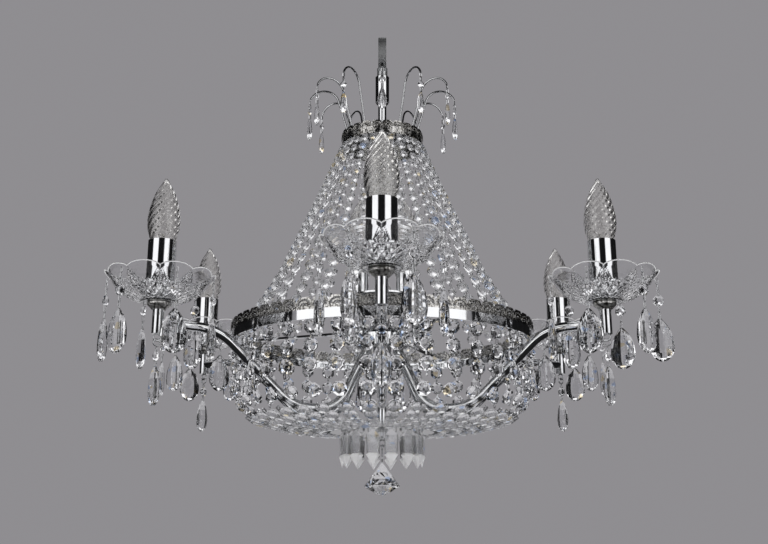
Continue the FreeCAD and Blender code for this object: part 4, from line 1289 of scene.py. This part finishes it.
@dataclass
class CandleBulb:
    """A clear candle bulb with swirled ribs, its screw cap, stem and filament.

    The upper edge of the screw cap is at the origin. The waists hold height and radius, the stem radius and
    height, the leads half their spread and height, and the contact radius and height over the cap's end.
    """

    cap_length: float = 0.024
    cap_radius: float = 0.007
    contact: tuple[Pair, ...] = ((0.0012, 0.0), (0.0035, 0.0004), (0.0045, 0.003))
    thread_start: float = 0.004
    thread_length: float = 0.018
    thread_depth: float = 0.0007
    thread_turns: int = 6
    cap_rise: float = 0.001
    waists: tuple[Pair, ...] = (
        (0.0, 0.007), (0.010, 0.0102), (0.023, 0.0132), (0.034, 0.0164), (0.044, 0.0174), (0.055, 0.0164),
        (0.066, 0.0139), (0.076, 0.0105), (0.086, 0.0052), (0.093, 0.0012))
    wall: float = 0.0005
    ribs: int = 12
    swirl: float = 0.9
    rib_depth: float = 0.0011
    rib_roundness: float = 0.6
    rib_clearance: float = 0.7
    least_radius: float = 0.0004
    segments: int = 156
    steps: int = 64
    cap_sides: int = 24
    stem_sides: int = 12
    stem: tuple[Pair, ...] = ((0.0052, 0.001), (0.0030, 0.008), (0.0021, 0.018), (0.0026, 0.027), (0.0008, 0.030))
    leads: tuple[Pair, ...] = ((0.0016, 0.012), (0.0030, 0.024), (0.0062, 0.039))
    lead_wire: float = 0.0002
    coil_wire: float = 0.00012
    coil_radius: float = 0.0005
    coil_sides: int = 3
    coil_turns: int = 15
    coil_steps: int = 240
    coil_rise: float = 0.0035

    def radius_at(self, rise: float) -> float:
        """Gives the radius of the plain glass, on a smooth curve through its waists.

        Args:
            rise: The height.

        Returns:
            The radius there.
        """
        points = self.waists
        index = max(i for i, (level, _) in enumerate(points[:-1]) if level <= rise + 1e-9)
        (low, low_radius), (high, high_radius) = points[index], points[index + 1]
        before = points[max(index - 1, 0)]
        after = points[min(index + 2, len(points) - 1)]
        share = (rise - low) / (high - low)
        low_slope = (high_radius - before[1]) / (high - before[0]) * (high - low)
        high_slope = (after[1] - low_radius) / (after[0] - low) * (high - low)
        square, cube = share ** 2, share ** 3
        return ((2 * cube - 3 * square + 1) * low_radius + (cube - 2 * square + share) * low_slope
                + (3 * square - 2 * cube) * high_radius + (cube - square) * high_slope)

    def ring(self, rise: float, inset: float, ribbed: float) -> list[Vector]:
        """Gives one ring of the glass.

        Args:
            rise: The ring's height.
            inset: How far it lies inside the plain glass.
            ribbed: How deep its ribs are, as a share of those outside.

        Returns:
            Its corners.
        """
        plain = self.radius_at(rise) - inset
        length = self.waists[-1][0]
        depth = ribbed * self.rib_depth * max(math.sin(math.pi * rise / length), 0.0) ** self.rib_roundness
        corners = []
        for index in range(self.segments):
            angle = FULL_TURN * index / self.segments
            phase = self.ribs * (angle - self.swirl * FULL_TURN * rise / length)
            radius = max(plain - depth * (1.0 - abs(math.sin(phase / 2))), self.least_radius)
            corners.append(polar(radius, angle, rise))
        return corners

    def glass(self) -> Shape:
        """Blows the glass: an outer and an inner wall joined at the neck.

        Returns:
            One closed shell.
        """
        length = self.waists[-1][0]
        rises = [length * step / self.steps for step in range(self.steps + 1)]
        inset = self.wall + self.rib_depth * self.rib_clearance
        outer = [self.ring(rise, 0.0, 1.0) for rise in reversed(rises)]
        inner = [self.ring(rise, inset, 0.0) for rise in rises if rise < length - 3 * self.wall]
        return Shape().loft(outer + inner)

    def cap(self) -> Shape:
        """Rolls the screw cap.

        Returns:
            One closed turned part.
        """
        outline = list(self.contact)
        pitch = self.thread_length / (2 * self.thread_turns)
        for index in range(2 * self.thread_turns + 1):
            depth = 0.0 if index % 2 else self.thread_depth
            outline.append((self.cap_radius - depth, self.thread_start + index * pitch))
        outline += [(self.cap_radius, self.cap_length), (self.contact[0][0], self.cap_length + self.cap_rise)]
        return Shape().lathe(outline, self.cap_sides).placed(lowered(self.cap_length))

    def mount(self) -> Shape:
        """Draws the glass stem inside the bulb."""
        return Shape().lathe(self.stem, self.stem_sides)

    def filament(self) -> Shape:
        """Bends the two lead wires and the coiled filament between them.

        Returns:
            The wires.
        """
        left, right = ([Vector((side * spread, 0.0, rise)) for spread, rise in self.leads] for side in (-1, 1))
        coil = []
        for step in range(self.coil_steps + 1):
            share = step / self.coil_steps
            middle = left[-1].lerp(right[-1], share) + UP * (self.coil_rise * math.sin(math.pi * share))
            coil.append(middle + polar(self.coil_radius, share * self.coil_turns * FULL_TURN, 0.0).zxy)
        shape = Shape()
        for lead in (left, right):
            shape.tube(lead, self.lead_wire, WIRE_SIDES)
        return shape.tube(coil, self.coil_wire, self.coil_sides)


@dataclass
class Candles:
    """What the six arms carry: dishes, their drops, bulbs and the drops under the stubs."""

    dish: Dish = field(default_factory=Dish)
    bulb: CandleBulb = field(default_factory=CandleBulb)
    drop: HangingDrop = HangingDrop(0.018, OctagonBead(0.012), 0.013, CutDrop(0.027, 0.045, 0.362))
    stub_drop: HangingDrop = HangingDrop(0.0036, OctagonBead(0.012), 0.005, CutDrop(0.020, 0.040, 0.6))
    drop_circle: float = 0.056
    drops: int = 6

    def dish_pieces(self, number: int) -> list[Piece]:
        """Makes a dish with its drops, of which one hangs edge-on.

        Args:
            number: The arm's number.

        Returns:
            The glass, its rounded edge, the stones and their links.
        """
        body, node = f"dish_{number}", f"dish_drops_{number}"
        low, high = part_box(body)
        place = candle_place(number, low.z)
        rim = ((high.x - low.x) / 2, high.z - low.z)
        drops_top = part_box(node)[1].z - low.z
        stones, wires = Shape(), Shape()
        for index in range(self.drops):
            azimuth = QUARTER_TURN + (index + 0.5) * FULL_TURN / self.drops
            twist = QUARTER_TURN if index == (number + 1) % self.drops else 0.0
            placing = place @ turned(azimuth) @ facing_out(self.drop_circle, drops_top, twist)
            stones.add(self.drop.stones(), placing)
            wires.add(self.drop.wires(), placing)
        return [self.dish.shape(rim).placed(place).piece(f"dish_glass_{number}", DISH_GLASS, body, body),
                self.dish.edge(rim).placed(place).piece(f"dish_edge_{number}", EDGE_GLASS, body, body, True),
                stones.piece(f"dish_stones_{number}", CRYSTAL, body, node),
                wires.piece(f"dish_links_{number}", CHROME, body, node, True)]

    def bulb_pieces(self, label: Any, node: str, body: str, necks: Sequence[Vector]) -> list[Piece]:
        """Makes the bulbs of one node.

        Args:
            label: How the pieces' names end.
            node: The node that they stand for.
            body: The body that carries them.
            necks: The upper edge of each bulb's screw cap.

        Returns:
            The glass, the stem, the cap and the filament.
        """
        bulb, pieces = self.bulb, []
        for part, one, finish in (("glass", bulb.glass(), BULB_GLASS), ("stem", bulb.mount(), BULB_GLASS),
                                  ("cap", bulb.cap(), BRASS), ("filament", bulb.filament(), TUNGSTEN)):
            shape = Shape()
            for neck in necks:
                shape.add(one, Matrix.Translation(neck))
            pieces.append(shape.piece(f"bulb_{part}_{label}", finish, body, node, finish is not TUNGSTEN))
        return pieces

    def stub_pieces(self, number: int) -> list[Piece]:
        """Makes the drop under a stub.

        Args:
            number: The arm's number.

        Returns:
            The stones and their links.
        """
        body = f"stub_drop_{number}"
        place = candle_place(number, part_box(body)[1].z)
        below = lowered(HOOK_LENGTH)
        stones = self.stub_drop.stones().placed(place @ below)
        wires = self.stub_drop.wires().placed(below).hook(Vector()).placed(place)
        return [stones.piece(f"stub_stone_{number}", CRYSTAL, body, body),
                wires.piece(f"stub_link_{number}", CHROME, body, body, True)]

    def build(self) -> list[Piece]:
        """Makes all that the arms carry, and the bulbs of the two lamps inside the tent.

        Returns:
            All the pieces.
        """
        pieces = []
        for number in range(1, ARMS + 1):
            bulb = f"bulb_{number}"
            neck = candle_place(number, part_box(bulb)[0].z + self.bulb.cap_length).translation
            pieces += self.dish_pieces(number)
            pieces += self.bulb_pieces(number, bulb, bulb, [neck])
            pieces += self.stub_pieces(number)
        low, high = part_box("inner_bulbs")
        half = (high.y - low.y) / 2
        necks = [Vector((x, 0.0, low.z + self.bulb.cap_length)) for x in (high.x - half, low.x + half)]
        return pieces + self.bulb_pieces("inner", "inner_bulbs", "frame", necks)


@dataclass
class LowerStones:
    """The prisms under the base plate, and the faceted finial with its pin.

    The lower cut holds width and height as shares of the finial's half width and point. The laps are how far
    the pin's ends lie over the hook's foot and over the stone's top.
    """

    prism: SpearPrism = SpearPrism(0.0145, 0.0385)
    prisms: int = 14
    prism_play: float = 1.1
    finial_sides: int = 14
    finial_top_radius: float = 0.0032
    finial_top_rise: float = 0.003
    finial_point: float = 0.0115
    finial_girdle: float = 0.0012
    finial_length: float = 0.0365
    finial_tip_radius: float = 0.0005
    lower_cut: Pair = (0.58, 0.45)
    pin_wire: float = 0.0006
    pin_sides: int = 8
    pin_laps: Pair = (0.0005, -0.001)

    def build(self) -> list[Piece]:
        """Cuts the prisms and the finial."""
        return self.prism_pieces() + self.finial_pieces()

    def prism_pieces(self) -> list[Piece]:
        """Repeats one prism round the base plate.

        Returns:
            The shafts and the tips.
        """
        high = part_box("base_prisms")[1]
        radius = high.x - self.prism.width / 2 * self.prism.flatness * self.prism_play
        return [repeated(name, cut.placed(facing_out(radius, high.z)), finish, self.prisms, "base_prisms")
                for name, cut, finish in (("base_prism_shafts", self.prism.shaft(), SOFT_CRYSTAL),
                                          ("base_prism_tips", self.prism.tip(), PAINTED_TIP_HIGHLIGHT))]

    def finial_pieces(self) -> list[Piece]:
        """Cuts the finial with long upper facets and a short point.

        Returns:
            The stone and its link.
        """
        node, body = "finial_drop", "finial"
        low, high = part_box(node)
        half = (high.x - low.x) / 2
        top = low.z + self.finial_length
        belly = low.z + self.finial_point
        width, depth = self.lower_cut
        levels = ((top, self.finial_top_radius / 2, 0.0), (top - self.finial_top_rise, self.finial_top_radius, 0.0),
                  (belly, half, 0.0), (belly - self.finial_girdle, half, 0.0),
                  (low.z + self.finial_point * depth, half * width, 0.5), (low.z, self.finial_tip_radius, 0.0))
        rings = [round_ring(radius, height, self.finial_sides, offset) for height, radius, offset in levels]
        ends = [UP * (height + lap) for height, lap in zip((high.z - HOOK_LENGTH, top), self.pin_laps)]
        wire = Shape().hook(UP * high.z).tube(ends, self.pin_wire, self.pin_sides)
        return [Shape().loft(rings).piece("finial_stone", CRYSTAL, body, node),
                wire.piece("finial_link", CHROME, body, node, True)]


@dataclass
class TendrilDrops:
    """The slim drops under the curled wires of the crown."""

    drop: HangingDrop = HangingDrop(0.011, OctagonBead(0.0085), 0.005, CutDrop(0.010, 0.028, 0.65))
    count: int = 12

    def build(self) -> list[Piece]:
        """Hangs one drop from each curled wire.

        Returns:
            The stones and their links.
        """
        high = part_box("tendril_drops")[1]
        radius = high.x - self.drop.bead.width / 2 * self.drop.drop.flatness
        return [repeated(name, shape.placed(facing_out(radius, high.z)), finish, self.count, "tendril_drops")
                for name, shape, finish in (("tendril_stones", self.drop.stones(), CRYSTAL),
                                            ("tendril_links", self.drop.wires(), CHROME))]


@dataclass
class Metalwork:
    """The metal and plastic nodes whose own shape shows, by their finish."""

    single: tuple[tuple[Finish, tuple[str, ...]], ...] = (
        (CHROME, ("eye_collar", "centre_tube", "crown_plate", "crown_tendrils", "main_ring", "ring_spokes",
                  "inner_lamp_plate", "arm_hub", "base_plate", "finial_cap", "inner_lamp_covers")),
        (ANTIQUE, ("crown_ring", "ring_gallery")), (CAST_CUP, ("dish_cups",)), (SATIN, ("hanging_eye",)),
        (ZINC, ("stack_nuts",)), (HOLDER_PLASTIC, ("lampholders",)))
    on_each_arm: tuple[str, ...] = ("arm", "candle_cover")

    def build(self) -> list[Piece]:
        """Gives each node its finish.

        Returns:
            The dressed nodes.
        """
        numbered = tuple(f"{name}_{number}" for name in self.on_each_arm for number in range(1, ARMS + 1))
        dressed = []
        for finish, names in (*self.single, (CHROME, numbered)):
            for name in names:
                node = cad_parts[name]
                node.data.materials.clear()
                node.data.materials.append(finish.material)
                dressed.append(node)
        return dressed


# --- the studio ---


@dataclass
class Studio:
    """A plain pale floor and backdrop, soft boxes, black cards and the camera.

    Azimuths are in degrees. A box holds its place, its width and height, and its radiance.
    """

    backdrop: Colour = (0.275, 0.268, 0.282)
    fill: float = 0.5
    floor_level: float = -1.2
    floor_radius: float = 40.0
    floor_sides: int = 96
    camera_place: Point = (0.00215, -1.1104, -0.5792)
    camera_pitch: float = 0.2605
    lens: float = 45.11
    side_boxes: tuple[tuple[str, float], ...] = (("soft_box_left", -43.0), ("soft_box_right", 42.0))
    box_distance: float = 2.2
    box_height: float = 0.1
    box_size: Pair = (1.5, 2.4)
    box_radiance: float = 0.95
    top_box: tuple[Point, Pair, float] = ((0.0, -0.2, 1.5), (2.6, 2.2), 0.9)
    back_box: tuple[Point, Pair, float] = ((0.0, 5.0, 4.8), (9.0, 3.2), 1.0)
    middle_height: float = -0.25
    cards: tuple[tuple[str, float, float], ...] = (
        ("card_front", -21.0, 19.0), ("card_left", -148.0, -66.0), ("card_right", 66.0, 148.0))
    card_steps: int = 8
    card_sides: int = 48
    card_distance: float = 2.7
    card_low: float = -1.15
    card_high: float = 1.3
    felt: Colour = (0.006, 0.006, 0.007)

    def build(self) -> None:
        """Sets up floor, world, lamps, cards and camera."""
        bpy.context.scene.view_settings.view_transform = "Standard"
        self.set_world()
        finish = Finish("pale_floor", (0.66, 0.65, 0.67), (0.63, 0.62, 0.64), 0.75, 0.1, marks_scale=3.0)
        self.disc(self.floor_radius, self.floor_level, self.floor_sides).thing("floor", finish)
        for name, azimuth in self.side_boxes:
            place = self.toward(math.radians(azimuth), self.box_distance, self.box_height)
            self.lamp(name, place, self.box_size, self.box_radiance)
        for name, (place, size, radiance) in (("soft_box_top", self.top_box), ("soft_box_back", self.back_box)):
            self.lamp(name, Vector(place), size, radiance)
        for name, start, end in self.cards:
            self.black_card(name, self.curved_card(math.radians(start), math.radians(end)))
        for name, height in (("card_above", self.card_high), ("card_below", self.card_low)):
            card = self.black_card(name, self.disc(self.card_distance, height, self.card_sides))
            card.visible_transmission = False
        self.stand_camera()

    def set_world(self) -> None:
        """Shows the plain backdrop to the eye and in the gloss, and fills the shadows softly."""
        world = bpy.data.worlds.new("studio")
        bpy.context.scene.world = world
        world.use_nodes = True
        world.node_tree.nodes.clear()
        wiring = Wiring(world.node_tree)
        rays = wiring.node("ShaderNodeLightPath").outputs
        seen = wiring.maths("MAXIMUM", rays["Is Camera Ray"], rays["Is Glossy Ray"])
        seen = wiring.maths("MAXIMUM", seen, rays["Is Transmission Ray"])
        plain = wiring.add("ShaderNodeBackground", {"Color": self.backdrop, "Strength": 1.0})
        soft = wiring.add("ShaderNodeBackground", {"Color": (1.0, 1.0, 1.0), "Strength": self.fill})
        wiring.node("ShaderNodeOutputWorld", {
            "Surface": wiring.add("ShaderNodeMixShader", {0: seen, 1: soft, 2: plain})})

    def toward(self, azimuth: float, distance: float, height: float) -> Vector:
        """Gives a point round the object; azimuth 0 is on the camera's side."""
        return Vector((math.sin(azimuth) * distance, -math.cos(azimuth) * distance, height))

    def lamp(self, name: str, place: Vector, size: Pair, radiance: float) -> None:
        """Makes one soft box that faces the object and that the eye doesn't see.

        Args:
            name: Its name.
            place: Where it stands.
            size: Its width and height.
            radiance: How bright its face looks, where 1 is white.
        """
        data = bpy.data.lights.new(name, "AREA")
        data.shape = "RECTANGLE"
        data.size, data.size_y = size
        data.energy = math.pi * size[0] * size[1] * radiance
        lamp = in_scene(name, data)
        lamp.location = place
        lamp.rotation_euler = (UP * self.middle_height - place).to_track_quat("-Z", "Y").to_euler()
        lamp.visible_camera = False

    def curved_card(self, start: float, end: float) -> Shape:
        """Bends a card round the object.

        Args:
            start: The azimuth of its first edge.
            end: That of its last edge.

        Returns:
            Its shape.
        """
        corners = []
        for step in range(self.card_steps + 1):
            azimuth = start + (end - start) * step / self.card_steps
            corners += [self.toward(azimuth, self.card_distance, height)
                        for height in (self.card_low, self.card_high)]
        return Shape(corners, [(2 * step, 2 * step + 2, 2 * step + 3, 2 * step + 1)
                               for step in range(self.card_steps)])

    def disc(self, radius: float, height: float, sides: int) -> Shape:
        """Gives a flat round shape round the upright axis."""
        corners = [self.toward(FULL_TURN * side / sides, radius, height) for side in range(sides)]
        return Shape(corners, [tuple(range(sides))])

    def black_card(self, name: str, shape: Shape) -> Piece:
        """Covers a card with black felt and hides it from the eye and from the lamps' light.

        Args:
            name: The card's name.
            shape: Its shape.

        Returns:
            The card, which gloss shows, and glass where it isn't told otherwise.
        """
        card = shape.thing(name, Finish(name + "_felt", self.felt, self.felt, 0.95, 0.05))
        card.visible_camera = card.visible_diffuse = card.visible_shadow = False
        return card

    def stand_camera(self) -> None:
        """Stands the camera where the photograph was taken from."""
        data = bpy.data.cameras.new("camera")
        data.lens = self.lens
        data.sensor_width = 36.0
        camera = in_scene("camera", data)
        camera.location = self.camera_place
        camera.rotation_euler = (QUARTER_TURN + self.camera_pitch, 0.0, 0.0)
        bpy.context.scene.camera = camera


def main() -> None:
    """Builds the studio and the chandelier's looks in it."""
    logging.basicConfig(level=logging.INFO, format="%(name)s: %(message)s")
    Studio().build()
    for assembly in (Metalwork(), Filigree(), Curtains(), TendrilDrops(), Candles(), LowerStones()):
        for piece in assembly.build():
            LOG.info("%s: %s, %d faces", type(assembly).__name__, piece.name, len(piece.data.polygons))


if __name__ == "__main__":
    main()
